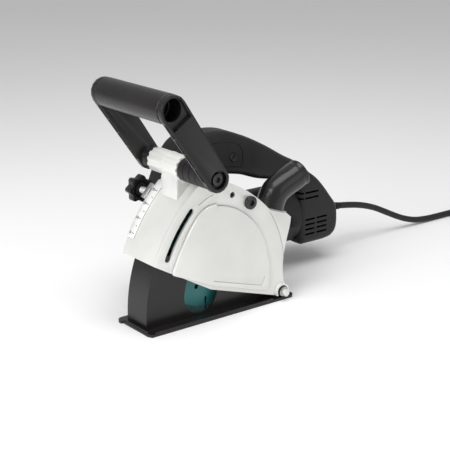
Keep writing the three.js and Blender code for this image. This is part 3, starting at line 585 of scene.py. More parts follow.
def ribbon(points, width):
    """Closed outline of a thin band along a line of XZ points, in millimetres."""
    left, right = [], []
    for i, point in enumerate(points):
        before = Vector(points[max(i - 1, 0)])
        after = Vector(points[min(i + 1, len(points) - 1)])
        along = (after - before).normalized()
        side = Vector((-along.y, along.x)) * width / 2
        left.append(Vector(point) + side)
        right.append(Vector(point) - side)
    return [tuple(p) for p in left + right[::-1]]


GUARD_Y, GUARD_R, GUARD_WALL = (-31, 26.6), 183, 3
GUARD_LOW, GUARD_HIGH = 20.9, 52
COVER_Y, PANEL_Y = (26.9, 30), 33
SLOT_R, SLOT_HALF = 170, 3.5
BOSS_R = 9.3
SCREWS = [(46.7, 122.6, 2.9), (69.9, 134.8, 3.4)]


def guard_outline():
    return [
        *arc(0, HINGE_Z, GUARD_R, GUARD_LOW, GUARD_HIGH, 56), *arc(142.6, -6.7, 170, 104, 137.6, 44),
        (-7, 100), (-12.9, 95), (-12.3, 89), (-10.7, 82), (-7.9, 72.5), (-5.4, 63.2), (-3.6, 55),
        (-2.5, 47.2),
        (-2, 39.5), (-2.4, 31.8), (-3.6, 22), *arc(0, HINGE_Z, BOSS_R, 134, 221.8, 20), (0, 3.8),
        (99.1, 34.5),
    ]


def guard_hollow():
    return [
        *arc(0, HINGE_Z, GUARD_R - GUARD_WALL, 12, GUARD_HIGH, 48), *arc(142.6, -6.7, 167, 105, 136.6, 36),
        (-6.5, 97), (-9.6, 93.6), (-7.7, 82), (-2.4, 63.2), (0.6, 47.2), (0.7, 31.8), (3, 23),
        *arc(0, HINGE_Z, 12, 60, -60, 16), (20, -20),
    ]


def arc_slot(r, half, start, end):
    ends = []
    for a, turn in ((end, 0), (start, 180)):
        x, z = r * math.cos(math.radians(a)), HINGE_Z + r * math.sin(math.radians(a))
        ends.append(arc(x, z, half, a + turn + 10, a + turn + 170, 12))
    return [*arc(0, HINGE_Z, r + half, start, end, 24), *ends[0],
        *arc(0, HINGE_Z, r - half, end, start, 24), *ends[1]]


DUCT = (-6.7, 100.1)
DUCT_TILT = math.radians(18.6)
duct_axis = Vector((-math.sin(DUCT_TILT), 0, math.cos(DUCT_TILT)))


def duct_bar(name, r, low, high):
    """Round bar on the dust duct's tilted axis, sizes in millimetres."""
    mesh = lathed(name, [(0, low * MM), (r * MM, low * MM), (r * MM, high * MM), (0, high * MM)], 64, "Z")
    mesh.transform(Matrix.Translation((DUCT[0] * MM, 0, DUCT[1] * MM)) @ Matrix.Rotation(-DUCT_TILT, 4, "Y"))
    return mesh


far_boss = bar("boss", 0, HINGE_Z, BOSS_R, GUARD_Y[0], -BOX_HALF - 0.6, 48)
foot_cut = slab("foot_cut", scaled([(-40, -20), (90, -20), (90, 31.68), (0, 3.8), (-40, 3.8)]), -0.06, 0.06)
shell = joined("guard_casting", slab("guard", scaled(guard_outline()), GUARD_Y[0] * MM, GUARD_Y[1] * MM),
               duct_bar("duct", 20, -24, 0))
shell = carved("guard_casting", shell, slab("hollow", scaled(guard_hollow()),
    (GUARD_Y[0] + GUARD_WALL) * MM, 0.032),
               duct_bar("bore", 14.8, -40, 5))
pillars = [bar("pillar", x, z, 6.2, GUARD_Y[0] + 1, GUARD_Y[1], 28) for x, z, hole in SCREWS]
shell = joined("guard_casting", shell, carved("boss", far_boss, foot_cut), *pillars)
holes = [bar("hole", x, z, 2.4, 0, 40, 20) for x, z, hole in SCREWS]
shell = carved(
    "guard_casting", shell, slab("slot", scaled(arc_slot(SLOT_R, SLOT_HALF, 25, 43.8)), -0.032, -0.026),
    bar("neck_hole", SPINDLE_X, SPINDLE_Z, 26, GUARD_Y[0] - 1, GUARD_Y[0] + 5, 64),
    slab("fork", scaled([(-20, -5), (20, -5), (20, 29), (-20, 29)]), (-BOX_HALF - 0.6) * MM, 0.0316),
    bar("pin_way", 0, HINGE_Z, 4, -40, 40), *holes,
)
piece("guard_casting", rounded("guard_casting", shell, 0.0007, 3), PAINT, "machine", ["guard_case"])

panel_outline = [
    (24, 15.8), (97.8, 38.6), (149.2, 61.6), (149.2, 65.5), (139.8, 85.9), (129.1, 103.9), (122.6, 112.8),
    (117.1, 119.4), (110.8, 124.8), (103.7, 128), (93, 129.4), *arc(102.3, 46.6, 81, 98, 175, 40),
    *arc(124.4, 34.8, 105.5, 171, 188, 12),
]
panel = rounded("panel", slab("panel", scaled(panel_outline), 0.0292, PANEL_Y * MM), 0.0011, 3)
near_boss = carved("boss", bar("boss", 0, HINGE_Z, BOSS_R, BOX_HALF + 0.6, PANEL_Y, 64), foot_cut)
crescent = carved("crescent", bar("crescent", 0, HINGE_Z, 7.1, PANEL_Y - 1.6, PANEL_Y + 1, 48),
                  bar("island", -1.2, HINGE_Z - 0.2, 5.4, PANEL_Y - 3, PANEL_Y + 2, 48))
top_groove = [(115, 131.2), (110.5, 133.8), (105, 136.6), (100, 138.4), (95.7, 139.3), (95.2, 141)]
rear_seam = arc(124.4, 34.8, 128.5, 146, 186, 24)
foot_line = [(97, 44.2), (62, 33.6), (31, 24.4), (26, 34)]
panel_edge = panel_outline[2:]
panel_edge = [tuple(Vector(p) + (Vector(p) - Vector((85, 70))).normalized() * 0.45) for p in panel_edge]
grooves = [(top_groove, 30, 1), (rear_seam, 30, 0.8), (foot_line, PANEL_Y, 0.8), (panel_edge, 30, 1)]
cover_cuts = [slab("groove", scaled(ribbon(line, width)), (face - 1.3) * MM, (face + 2) * MM) for line,
    face, width in grooves]
cover = joined("wheel_cover_cast", slab("cover", scaled(guard_outline()), COVER_Y[0] * MM,
    COVER_Y[1] * MM), panel, near_boss)
cover = carved(
    "wheel_cover_cast", cover, slab("slot", scaled(arc_slot(SLOT_R, SLOT_HALF, 24.4, 43.1)), 0.0259, 0.034),
    bar("pin_way", 0, HINGE_Z, 4, -40, 40), crescent,
    *[bar("hole", x, z, hole, 20, 40, 32) for x, z, hole in SCREWS], *cover_cuts,
)
piece("wheel_cover_cast", rounded("wheel_cover_cast", cover, 0.0005, 2), PAINT, "machine",
    ["wheel_cover"])

# ---------------------------------------------------------------- cover screws
# Blackened socket screws: a large one standing proud of the cover and a small one sunk in it.


class Tree:
    """A geometry nodes tree with named inputs."""

    def __init__(self, name, **sizes):
        self.group = bpy.data.node_groups.new(name, "GeometryNodeTree")
        self.sockets = {}
        self.group.interface.new_socket("Seed", in_out="INPUT", socket_type="NodeSocketGeometry")
        for label, value in sizes.items():
            kind = {int: "NodeSocketInt", float: "NodeSocketFloat"}.get(type(value), "NodeSocketVector")
            item = self.group.interface.new_socket(label, in_out="INPUT", socket_type=kind)
            item.default_value = value
            self.sockets[label] = item.identifier
        self.group.interface.new_socket("Geometry", in_out="OUTPUT", socket_type="NodeSocketGeometry")
        self.inputs = self.group.nodes.new("NodeGroupInput")
        self.result = self.group.nodes.new("NodeGroupOutput")

    def size(self, label):
        return self.inputs.outputs[label]

    def make(self, kind, inputs=None, output=0, **settings):
        node = self.group.nodes.new(kind)
        for key, value in settings.items():
            setattr(node, key, value)
        for key, value in (inputs or {}).items():
            if isinstance(value, bpy.types.NodeSocket):
                self.group.links.new(value, node.inputs[key])
            else:
                node.inputs[key].default_value = value
        return node.outputs[output]

    def maths(self, operation, a, b=0.0):
        return self.make("ShaderNodeMath", {0: a, 1: b}, operation=operation)

    def finish(self, instances, material):
        real = self.make("GeometryNodeRealizeInstances", {"Geometry": instances})
        coloured = self.make("GeometryNodeSetMaterial", {"Geometry": real, "Material": material})
        self.group.links.new(coloured, self.result.inputs[0])


def grown(name, tree, seed_mesh=None, **sizes):
    """Runs a tree and returns its plain mesh."""
    holder = bpy.data.objects.new(name, seed_mesh or bpy.data.meshes.new(name))
    scene.collection.objects.link(holder)
    maker = holder.modifiers.new(name, "NODES")
    maker.node_group = tree.group
    for label, value in sizes.items():
        maker[tree.sockets[label]] = value
    graph = bpy.context.evaluated_depsgraph_get()
    made = bpy.data.meshes.new_from_object(holder.evaluated_get(graph), depsgraph=graph)
    bpy.data.objects.remove(holder)
    made.name = name
    return made


def socket_screw(name, x, z, head, y0, y1, shank=0.0021):
    """Cylinder-headed screw along Y with a hexagon socket and a chamfered head."""
    body = lathed(name, [
        (0, 0.008), (shank, 0.008), (shank, y0), (head - 0.0003, y0), (head, y0 + 0.0003),
        (head, y1 - 0.0007), (head - 0.0007, y1), (0, y1),
    ], 40, "Y", (x, 0, z), 25)
    hexagon = [(x + head * 0.46 * math.cos(math.pi * i / 3),
        z + head * 0.46 * math.sin(math.pi * i / 3)) for i in range(6)]
    return rounded(name, carved(name, body, slab("socket", hexagon, y1 - 0.0026, y1 + 0.001)), 0.0002, 1, 50)


for name, node, head, thick in (
    ("cover_screw_large", "cover_screw", 0.0073, 0.0041),
    ("cover_screw_sunk", "cover_screw_small", 0.0031, 0.00205),
):
    low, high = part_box(node)
    x, z = (low.x + high.x) / 2, (low.z + high.z) / 2
    screw = socket_screw(name, x, z, head, high.y - thick, high.y)
    piece(name, screw, DARK_STEEL, "machine", [node])

# ---------------------------------------------------------------- depth scale
# Bright printed strip round the front of the case, marked from 0 to 30 mm in fives.

STRIP = painted("white printed strip", (0.86, 0.86, 0.85), 0.35)
INK = moulded("black printing ink", (0.012, 0.012, 0.013), 0.5, 3000.0, 0.03, 80.0)
strip_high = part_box("depth_scale")[1]
STRIP_R = 0.1846
strip_mesh = rounded("scale_strip", nodes_copy("scale_strip", "depth_scale"), 0.00025, 1)
piece("scale_strip", strip_mesh, STRIP, "machine", ["depth_scale"])
TICKS = 7
TICK_START, TICK_STEP = 28.2, 2.683
TICK_LIFT = 0.00012

marks = Tree("scale marks", Count=TICKS, Radius=STRIP_R, Start=math.radians(TICK_START),
    Step=math.radians(TICK_STEP),
             Edge=0.0, Hinge=0.0)
rank = marks.make("GeometryNodeInputIndex")
angle = marks.maths("ADD", marks.size("Start"), marks.maths("MULTIPLY", rank, marks.size("Step")))
spots = marks.make("GeometryNodeMeshLine", {"Count": marks.size("Count")}, mode="OFFSET")
tick_x = marks.maths("MULTIPLY", marks.size("Radius"), marks.maths("COSINE", angle))
tick_z = marks.maths("MULTIPLY", marks.size("Radius"), marks.maths("SINE", angle))
long_mark = marks.maths("SUBTRACT", 1.0, marks.maths("MODULO", rank, 2.0))
half = marks.maths("MULTIPLY_ADD", long_mark, 0.0011)
half.node.inputs[2].default_value = 0.0013
place = marks.make("ShaderNodeCombineXYZ", {
    "X": tick_x, "Y": marks.maths("SUBTRACT", marks.size("Edge"), half),
    "Z": marks.maths("ADD", tick_z, marks.size("Hinge")),
})
spots = marks.make("GeometryNodeSetPosition", {"Geometry": spots, "Position": place})
tick_bar = marks.make("GeometryNodeMeshCube", {"Size": (TICK_LIFT * 2, 1.0, 0.0006)})
lean = marks.make("ShaderNodeCombineXYZ", {"Y": marks.maths("MULTIPLY", angle, -1.0)})
width = marks.make("ShaderNodeCombineXYZ", {"X": 1.0, "Y": marks.maths("MULTIPLY", half, 2.0), "Z": 1.0})
ticks = marks.make("GeometryNodeInstanceOnPoints", {
    "Points": spots, "Instance": tick_bar, "Rotation": lean, "Scale": width,
})
marks.finish(ticks, INK)
tick_mesh = grown("scale_ticks", marks, Edge=strip_high.y - 0.0012, Hinge=HINGE_Z * MM)
piece("scale_ticks", tick_mesh, INK, "machine")

figures = []
for i, label in enumerate(("0", "10", "20", "30")):
    text = bpy.data.curves.new("figure", "FONT")
    text.body = label
    text.size = 0.0046
    text.extrude = TICK_LIFT
    text.resolution_u = 2
    text.align_x, text.align_y = "CENTER", "CENTER"
    holder = bpy.data.objects.new("figure", text)
    scene.collection.objects.link(holder)
    bpy.context.view_layer.update()
    flat = bpy.data.meshes.new_from_object(holder)
    bpy.data.objects.remove(holder)
    a = math.radians(TICK_START + TICK_STEP * 2 * i)
    out = Vector((math.cos(a), 0, math.sin(a)))
    up = Vector((-math.sin(a), 0, math.cos(a)))
    side = up.cross(out)
    turn = Matrix((side, up, out)).transposed().to_4x4()
    spot = Vector((0, strip_high.y - 0.0084, HINGE_Z * MM)) + out * STRIP_R
    flat.transform(Matrix.Translation(spot) @ turn)
    figures.append(flat)
piece("scale_figures", merged(*figures), INK, "machine")

# ---------------------------------------------------------------- depth stop
# Steel slider in the case's far slot, a threaded stud and a seven-lobed plastic clamping knob.

slider_mesh = rounded("stop_slider_plate", nodes_copy("stop_slider_plate", "stop_slider"), 0.0005, 2)
piece("stop_slider_plate", slider_mesh, STEEL, "depth_stop", ["stop_slider"])
stud_low, stud_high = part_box("stop_stud")
stud_at = ((stud_low.x + stud_high.x) / 2, 0, (stud_low.z + stud_high.z) / 2)
stud_r = (stud_high.x - stud_low.x) / 2
pitch = 0.00125
thread = [(0, stud_low.y)]
turns = int((stud_high.y - stud_low.y) / pitch)
for i in range(turns):
    y = stud_low.y + pitch * i
    thread += [(stud_r - 0.0006, y + 0.0001), (stud_r, y + pitch * 0.5), (stud_r - 0.0006, y + pitch * 0.98)]
thread += [(0, stud_high.y)]
stud_mesh = lathed("threaded_stud", thread, 32, "Y", stud_at, 20)
piece("threaded_stud", stud_mesh, STEEL, "stop_screw", ["stop_stud"])

NYLON = moulded("black nylon", (0.008, 0.0072, 0.0072), 0.3, 1400.0, 0.07, 26.0, 0.2, 0.35, 0.2)
knob_low, knob_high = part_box("stop_knob")
LOBES = 7
lobes = []
for i in range(LOBES * 16):
    a = 2 * math.pi * i / (LOBES * 16)
    r = 0.01375 + 0.00165 * math.cos(LOBES * a)
    lobes.append((stud_at[0] + r * math.cos(a), stud_at[2] + r * math.sin(a)))
knob_blank = slab("knob", lobes, knob_low.y, knob_high.y - 0.001)
recess = lathed("recess", [(0, knob_high.y - 0.003), (0.0086, knob_high.y - 0.003), (0.0094, knob_high.y),
    (0, knob_high.y)],
                40, "Y", stud_at)
face_dish = lathed("dish", [(0, knob_low.y - 0.001), (0.0098, knob_low.y - 0.001),
    (0.0086, knob_low.y + 0.0012),
                            (0, knob_low.y + 0.0012)], 40, "Y", stud_at)
knob_body = rounded("knob", carved("knob", knob_blank, recess, face_dish), 0.0012, 4, 30)
collar = lathed("collar", [(0.0044, knob_low.y + 0.0015), (0.0072, knob_low.y + 0.0015),
    (0.0066, knob_high.y - 0.0004),
                           (0.0044, knob_high.y), (0.0044, knob_low.y + 0.0015)], 32, "Y", stud_at)
piece("clamping_knob", merged(knob_body, collar), NYLON, "stop_screw", ["stop_knob"])

# ---------------------------------------------------------------- handle bracket
# Cast clamp on the guard's shoulder with a toothed hub at each end, in the guard's paint.

bracket_mesh = rounded("bracket_casting", nodes_copy("bracket_casting", "handle_bracket"), 0.0006, 2, 38)
piece("bracket_casting", bracket_mesh, PAINT, "machine", ["handle_bracket"])
pivot = (0.121, 0, 0.169)
HUB_R = 0.0132
seam = lathed("hub_seam", [(HUB_R - 0.0002, -0.0099), (HUB_R + 0.00045, -0.0098), (HUB_R + 0.00045, -0.0091),
                           (HUB_R - 0.0002, -0.009), (HUB_R - 0.0002, -0.0099)], 56, "Y", pivot)
piece("hub_band", seam, PAINT, "machine")

# ---------------------------------------------------------------- front handle
# Two flat glass-filled nylon arms with ribbed pockets in their front edges, a tube grip between
# them, and one bolt through the arms, spacer and hub that locks the handle's angle.

grip_low, grip_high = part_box("front_grip")
grip_at = ((grip_low.x + grip_high.x) / 2, 0, (grip_low.z + grip_high.z) / 2)
HOLLOW_R = 0.0118
for side in ("near", "far"):
    low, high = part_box(f"handle_arm_{side}")
    bore_way = bar("bore_way", grip_at[0] / MM, grip_at[2] / MM, HOLLOW_R / MM,
        low.y / MM - 2 if side == "far" else 60,
                   high.y / MM + 2 if side == "near" else -40, 64)
    arm = rounded(f"arm_{side}", carved("arm", nodes_copy(f"arm_{side}", f"handle_arm_{side}"), bore_way),
        0.0005, 2)
    piece(f"arm_{side}", arm, NYLON, "front_handle", [f"handle_arm_{side}"])
GRIP_R = (grip_high.x - grip_low.x) / 2
GRIP = moulded("soft grip nylon", (0.009, 0.0075, 0.0078), 0.3, 1800.0, 0.12, 20.0, 0.15, 0.2, 0.15)
grip_mesh = lathed("grip_tube", [
    (0.0096, grip_low.y + 0.017), (HOLLOW_R, grip_low.y + 0.0165), (HOLLOW_R, grip_low.y),
    (GRIP_R - 0.0007, grip_low.y), (GRIP_R, grip_low.y + 0.0008),
    (GRIP_R, grip_high.y - 0.0008), (GRIP_R - 0.0007, grip_high.y), (HOLLOW_R, grip_high.y),
    (HOLLOW_R, grip_high.y - 0.0165), (0.0096, grip_high.y - 0.017), (0.0096, grip_low.y + 0.017),
], 72, "Y", grip_at)
piece("grip_tube", grip_mesh, GRIP, "front_handle", ["front_grip"])
core_low, core_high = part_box("grip_core")
core = lathed("grip_core_bar", [
    (0, core_low.y), (0.0084, core_low.y), (0.009, core_low.y + 0.0006), (0.009, core_high.y - 0.0006),
    (0.0084, core_high.y), (0, core_high.y),
], 40, "Y", grip_at)
piece("grip_core_bar", core, DARK_STEEL, "front_handle", ["grip_core"])

BODY = moulded("textured housing plastic", (0.0105, 0.009, 0.0098), 0.42, 1300.0, 0.22, 24.0, 0.15, 0.2)
space_low, space_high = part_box("handle_spacer")
SPACE_R = 0.0126
steps = [(0.0046, space_low.y), (SPACE_R - 0.0006, space_low.y), (SPACE_R, space_low.y + 0.0006)]
for i in range(3):
    y = space_low.y + 0.009 + 0.011 * i
    steps += [(SPACE_R, y), (SPACE_R - 0.0007, y + 0.0004), (SPACE_R - 0.0007, y + 0.0011),
        (SPACE_R, y + 0.0015)]
steps += [(SPACE_R, space_high.y - 0.0006), (SPACE_R - 0.0006, space_high.y), (0.0046, space_high.y),
    (0.0046, space_low.y)]
piece("spacer_tube", lathed("spacer_tube", steps, 56, "Y", pivot), BODY, "front_handle",
    ["handle_spacer"])
for node, new, edge in (("handle_bolt", "clamp_bolt", 0.0003), ("handle_nut", "clamp_nut", 0.0004)):
    made = rounded(new, nodes_copy(new, node), edge, 1, 45)
    piece(new, made, DARK_STEEL, "front_handle", [node])

# ---------------------------------------------------------------- discs
# Two dry-cut diamond discs: a teal steel blank with open slots and small holes, and sintered
# rim segments that stand a little thicker than the blank, pressed in a turbo pattern.

TEAL = painted("teal disc enamel", (0.035, 0.2, 0.2), 0.38)
GRIT = moulded("sintered diamond rim", (0.05, 0.1, 0.1), 0.6, 2600.0, 0.4, 300.0, 0.3)
DISC_R, DISC_T, RIM = 62.4, 2.4, 8
SLOTS, FINS = 8, 10
CENTRE = (SPINDLE_X * MM, 0, SPINDLE_Z * MM)


def spindle_place(r, a):
    return (SPINDLE_X + r * math.cos(math.radians(a)), SPINDLE_Z + r * math.sin(math.radians(a)))


def disc_blank(name, y):
    step = 360 / SLOTS
    outline = []
    for i in range(SLOTS):
        start = step * i
        outline += arc(SPINDLE_X, SPINDLE_Z, DISC_R - RIM + 0.6, start + 1.1, start + step - 1.1, 12)
        outline += arc(*spindle_place(46, start + step), 1.7, start + step + 70, start + step + 290, 8)[::-1]
    blank = slab(name, scaled(outline), (y - 0.9) * MM, (y + 0.9) * MM)
    holes = [bar("hole", *spindle_place(33, step * (i + 0.5)), 2.6, y - 2, y + 2, 20) for i in range(SLOTS)]
    return carved(name, blank, bar("bore", SPINDLE_X, SPINDLE_Z, 11.2, y - 2, y + 2, 48), *holes)


def rim_segment():
    outline = arc(0, 0, DISC_R, 1, 44, 20) + arc(0, 0, DISC_R - RIM, 44, 1, 20)
    ribs = []
    for i in range(FINS):
        a = 2.2 + 4.1 * i
        rib = arc(0, 0, DISC_R, a, a + 2.1, 2) + arc(0, 0, DISC_R - RIM + 0.8, a + 2.9, a + 0.8, 2)
        ribs.append(slab("rib", scaled(rib), -DISC_T * MM / 2, DISC_T * MM / 2))
    return joined("rim_segment", slab("rim_segment", scaled(outline), -0.00098, 0.00098), *ribs)


rim_tree = Tree("rim_segments", Count=SLOTS, Place=(0.0, 0.0, 0.0))
spots = rim_tree.make("GeometryNodeMeshLine", {"Count": rim_tree.size("Count"), "Offset": (0.0, 0.0, 0.0)})
spots = rim_tree.make("GeometryNodeSetPosition", {"Geometry": spots, "Position": rim_tree.size("Place")})
index = rim_tree.make("GeometryNodeInputIndex")
angle = rim_tree.maths("DIVIDE", rim_tree.maths("MULTIPLY", index, 2 * math.pi), rim_tree.size("Count"))
segments = rim_tree.make("GeometryNodeInstanceOnPoints", {
    "Points": spots, "Instance": rim_tree.size("Seed"),
    "Rotation": rim_tree.make("ShaderNodeCombineXYZ", {"Y": angle}),
})
rim_tree.finish(segments, GRIT)
segment_seed = rim_segment()
for name, node, y in (("far", "disc_far", -8.5), ("near", "disc_near", 8.5)):
    piece(f"disc_blank_{name}", disc_blank("disc_blank", y), TEAL, "wheel_spindle", [node])
    rim = grown("disc_rim", rim_tree, segment_seed.copy(), Place=(CENTRE[0], y * MM, CENTRE[2]))
    piece(f"disc_rim_{name}", rim, GRIT, "wheel_spindle")

# ---------------------------------------------------------------- spindle, flange, rings and lock nut
# Ground steel spindle with a shouldered flange, spacer rings that set the groove's width, and a
# blackened four-hole nut that clamps the discs.


def turned_on_spindle(name, profile, steps=64):
    """Solid turned on the spindle's axis, sizes in millimetres."""
    return lathed(name, scaled(profile), steps, "Y", CENTRE)


spindle_mesh = turned_on_spindle("spindle_ground", [
    (0, -97), (5.4, -97), (6, -96.4), (6, -64), (7, -64), (7, -44), (7.8, -44), (7.8, -20), (10.2, -20),
    (10.6, -19.6),
    (10.6, -15.4), (10.2, -15), (7, -15), (7, 17), (6.2, 19.4), (5.6, 20), (0, 20),
])
piece("spindle_ground", spindle_mesh, STEEL, "wheel_spindle", ["spindle"])
flange_mesh = turned_on_spindle("flange_turned", [
    (7.3, -14.7), (13.6, -14.7), (14.3, -14.4), (19.7, -12.4), (20, -12), (20, -10.1), (19.8, -9.9),
    (7.3, -9.9), (7.3, -14.7),
])
piece("flange_turned", flange_mesh, STEEL, "wheel_spindle", ["inner_flange"])
for i in range(3):
    low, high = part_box(f"spacer_ring_{i + 1}")
    y0, y1 = low.y / MM, high.y / MM
    ring_mesh = turned_on_spindle("spacer_turned", [
        (7.3, y0), (17.6, y0), (18, y0 + 0.4), (18, y1 - 0.4), (17.6, y1), (7.3, y1), (7.3, y0),
    ])
    piece(f"spacer_turned_{i + 1}", ring_mesh, STEEL, "wheel_spindle", [f"spacer_ring_{i + 1}"])
nut_mesh = turned_on_spindle("clamping_nut", [
    (7.3, 9.9), (18.6, 9.9), (19, 10.3), (19, 12.6), (18.4, 13.4), (11.6, 16.8), (11, 17), (7.3, 17),
    (7.3, 9.9),
])
key_holes = [bar("key_hole", *spindle_place(14.2, 90 * i), 2.2, 11.5, 20, 20) for i in range(4)]
piece("clamping_nut", carved("clamping_nut", nut_mesh, *key_holes), DARK_STEEL, "wheel_spindle",
    ["lock_nut"])

# ---------------------------------------------------------------- motor, gears and bearings inside
# Bevel gears on ball bearings, the armature with its commutator and fan, the stator and the brushes.
# They keep the model's shapes; each gets the finish of its own metal.

IRON = metal("laminated iron", (0.2, 0.195, 0.19), 0.45, (900, 40, 40))
COPPER = metal("copper bars", (0.62, 0.28, 0.16), 0.35, (20, 700, 700))
BRASS = metal("brass tube", (0.62, 0.46, 0.2), 0.34)
CARBON = moulded("pressed carbon", (0.022, 0.022, 0.024), 0.6, 2000.0, 0.1, 200.0)
SWITCH = moulded("dark red switch casing", (0.2, 0.02, 0.016), 0.42, 1600.0, 0.08, 60.0)
for nodes, finish in (
    (("spindle_bearing", "bevel_gear", "bevel_pinion", "armature_shaft", "motor_bearing_front",
    "motor_bearing_rear"), STEEL),
    (("bearing_box", "bearing_plate", "stator", "armature_core"), IRON),
    (("commutator",), COPPER),
    (("brush_holder_near", "brush_holder_far"), BRASS),
    (("carbon_brush_near", "carbon_brush_far"), CARBON),
    (("switch_body",), SWITCH),
    (("cooling_fan",), RUBBER),
):
    for node in nodes:
        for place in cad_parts[node].material_slots:
            place.material = finish

# ---------------------------------------------------------------- gear head and motor housing
# Die-cast gear head and moulded motor housing in textured dark plastic, with screwed brush caps
# and the button that holds the spindle for a disc change.

MOTOR_Y, MOTOR_Z, MOTOR_R = -69, 63, 36


def motor_bar(name, profile, steps=72):
    """Solid turned on the motor's axis, sizes in millimetres."""
    return lathed(name, scaled(profile), steps, "X", (0, MOTOR_Y * MM, MOTOR_Z * MM))


head_side = motor_bar("gear_head", [(0, 57.8), (36.2, 57.8), (37, 58.6), (37, 96), (0, 96)])
head_drum = turned_on_spindle("gear_head", [
    (0, -100), (17.4, -100), (18.6, -99.6), (24, -94), (33, -78), (34.4, -75.4), (35, -73), (35, -40.6),
    (34.6, -40), (0, -40),
], 72)
head = carved(
    "gear_head_cast", joined("gear_head_cast", head_side, head_drum),
    motor_bar("room", [(0, 50), (31.5, 50), (31.5, 92), (0, 92)]),
    bar("room", SPINDLE_X, SPINDLE_Z, 31.6, -72, -30, 64),
    bar("room", SPINDLE_X, SPINDLE_Z, 20, -88, -70, 48),
    bar("room", SPINDLE_X, SPINDLE_Z, 9.8, -98, -80, 32),
    lathed("button_way", scaled([(0, 110), (5.4, 110), (5.4, 150), (0, 150)]), 32, "X",
    (0, -0.064, MOTOR_Z * MM)),
)
piece("gear_head_cast", rounded("gear_head_cast", head, 0.0008, 2), BODY, "machine", ["gear_head"])

shell_profile = [(33, -86), (35.6, -86), (MOTOR_R, -85.6)]
for x in range(-22, 40, 10):
    shell_profile += [(MOTOR_R, x), (MOTOR_R - 0.8, x + 0.6), (MOTOR_R - 0.8, x + 2), (MOTOR_R, x + 2.6)]
shell_profile += [(MOTOR_R, 56.8), (35.6, 57.2), (33, 57.2), (33, -86)]
cap_ways = [bar("cap_way", -61, MOTOR_Z, 8.3, *reach, 40) for reach in ((-43, -25), (-113, -95))]
housing = carved("motor_housing_ribbed", motor_bar("motor_housing_ribbed", shell_profile), *cap_ways)
piece("motor_housing_ribbed", housing, BODY, "machine", ["motor_housing"])

for side, reach in (("near", (-38.5, -33.8)), ("far", (-104.2, -99.5))):
    out = reach[1] if side == "near" else reach[0]
    cap = bar("cap", -61, MOTOR_Z, 8, *reach, 48)
    slot_box = [(-67, MOTOR_Z - 0.8), (-55, MOTOR_Z - 0.8), (-55, MOTOR_Z + 0.8), (-67, MOTOR_Z + 0.8)]
    cap = carved("cap", cap, slab("slot", scaled(slot_box), (out - 1.2) * MM, (out + 1.2) * MM))
    cap = rounded(f"brush_cap_slotted_{side}", cap, 0.0004, 2)
    piece(f"brush_cap_slotted_{side}", cap, NYLON, "machine", [f"brush_cap_{side}"])
low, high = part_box("spindle_lock")
button = lathed("lock_pin_button", [
    (0, low.x), (0.0048, low.x), (0.005, low.x + 0.0002), (0.005, high.x - 0.0013), (0.0046, high.x - 0.0004),
    (0.004, high.x), (0.0028, high.x), (0.0024, high.x - 0.0004), (0, high.x - 0.0005),
], 40, "X", (0, (low.y + high.y) / 2, (low.z + high.z) / 2))
piece("lock_pin_button", button, NYLON, "spindle_lock_pin", ["spindle_lock"])

# ---------------------------------------------------------------- D-handle in two shells
# Closed handle and rear body moulded as a near and a far shell, screwed together along a fine seam.
# Air slots in the rear body, a panel round the lock button and fine grip lines behind it.

HANDLE_STATIONS = [
    ((110, 101.6), (66, 101.6)), ((108, 116), (64.5, 112)), ((99, 141), (62, 121.5)),
    ((85, 166.5), (55, 130.5)),
    ((71, 178.6), (47, 133.6)), ((47, 182.3), (36, 133)), ((14, 181), (14, 130)), ((-10, 173), (-10, 125.4)),
    ((-30, 164), (-34, 117)), ((-50, 153.4), (-54, 112.6)), ((-74, 139.2), (-70, 109.8)),
    ((-98, 126.5), (-80, 105.6)),
    ((-116, 112), (-86, 98)), ((-130, 95), (-92, 84)), ((-131.5, 60), (-100, 60)),
]
REAR = [
    (-85.7, 100), (-87.5, 111), (-93, 116.5), (-100, 117.6), (-112, 110.5), (-124, 99), (-138, 82),
    (-147, 70), (-149.5, 60),
    (-149.5, 43), (-146.5, 35), (-140, 29.5), (-130, 27.3), (-118, 27), (-85.7, 27),
]
AIR_SLOTS = [(x0, x1, z) for z in (40.2, 46.4, 52.5, 58.7) for x0, x1 in ((-109.5, -94.2), (-129, -112.6))]
AIR_SLOTS += [(x0, x1, z) for z in (86, 92.8) for x0, x1 in ((-91.5, -79), (-114.5, -93.2))]


def grip_loft(name, stations, wall, half, bend):
    """Rounded bar lofted along pairs of outer and inner points; wall moves its skin inwards."""
    outer = curve_through([(x * MM, 0, z * MM) for (x, z), low in stations], 6)
    inner_line = curve_through([(x * MM, 0, z * MM) for high, (x, z) in stations], 6)
    bm = bmesh.new()
    rings = []
    for top, low in zip(outer, inner_line):
        middle, up = (top + low) / 2, (top - low) / 2
        reach = up.length - wall
        up = up.normalized()
        round_r = min(bend, reach * 0.98, half * 0.98)
        ring = []
        for sx, sy, start in ((1, 1, 0), (-1, 1, 90), (-1, -1, 180), (1, -1, 270)):
            for k in range(9):
                a = math.radians(start + 90 * k / 8)
                rise = sx * (reach - round_r) + round_r * math.cos(a)
                ring.append(middle + up * rise + Vector((0, sy * (half - round_r) + round_r * math.sin(a),
                    0)))
        rings.append([bm.verts.new(p + Vector((0, MOTOR_Y * MM, 0))) for p in ring])
    sides = len(rings[0])
    for low, high in zip(rings, rings[1:]):
        for k in range(sides):
            bm.faces.new((low[k], low[(k + 1) % sides], high[(k + 1) % sides], high[k]))
    bm.faces.new(rings[0])
    bm.faces.new(rings[-1])
    bmesh.ops.recalc_face_normals(bm, faces=bm.faces)
    return mesh_from(bm, name)


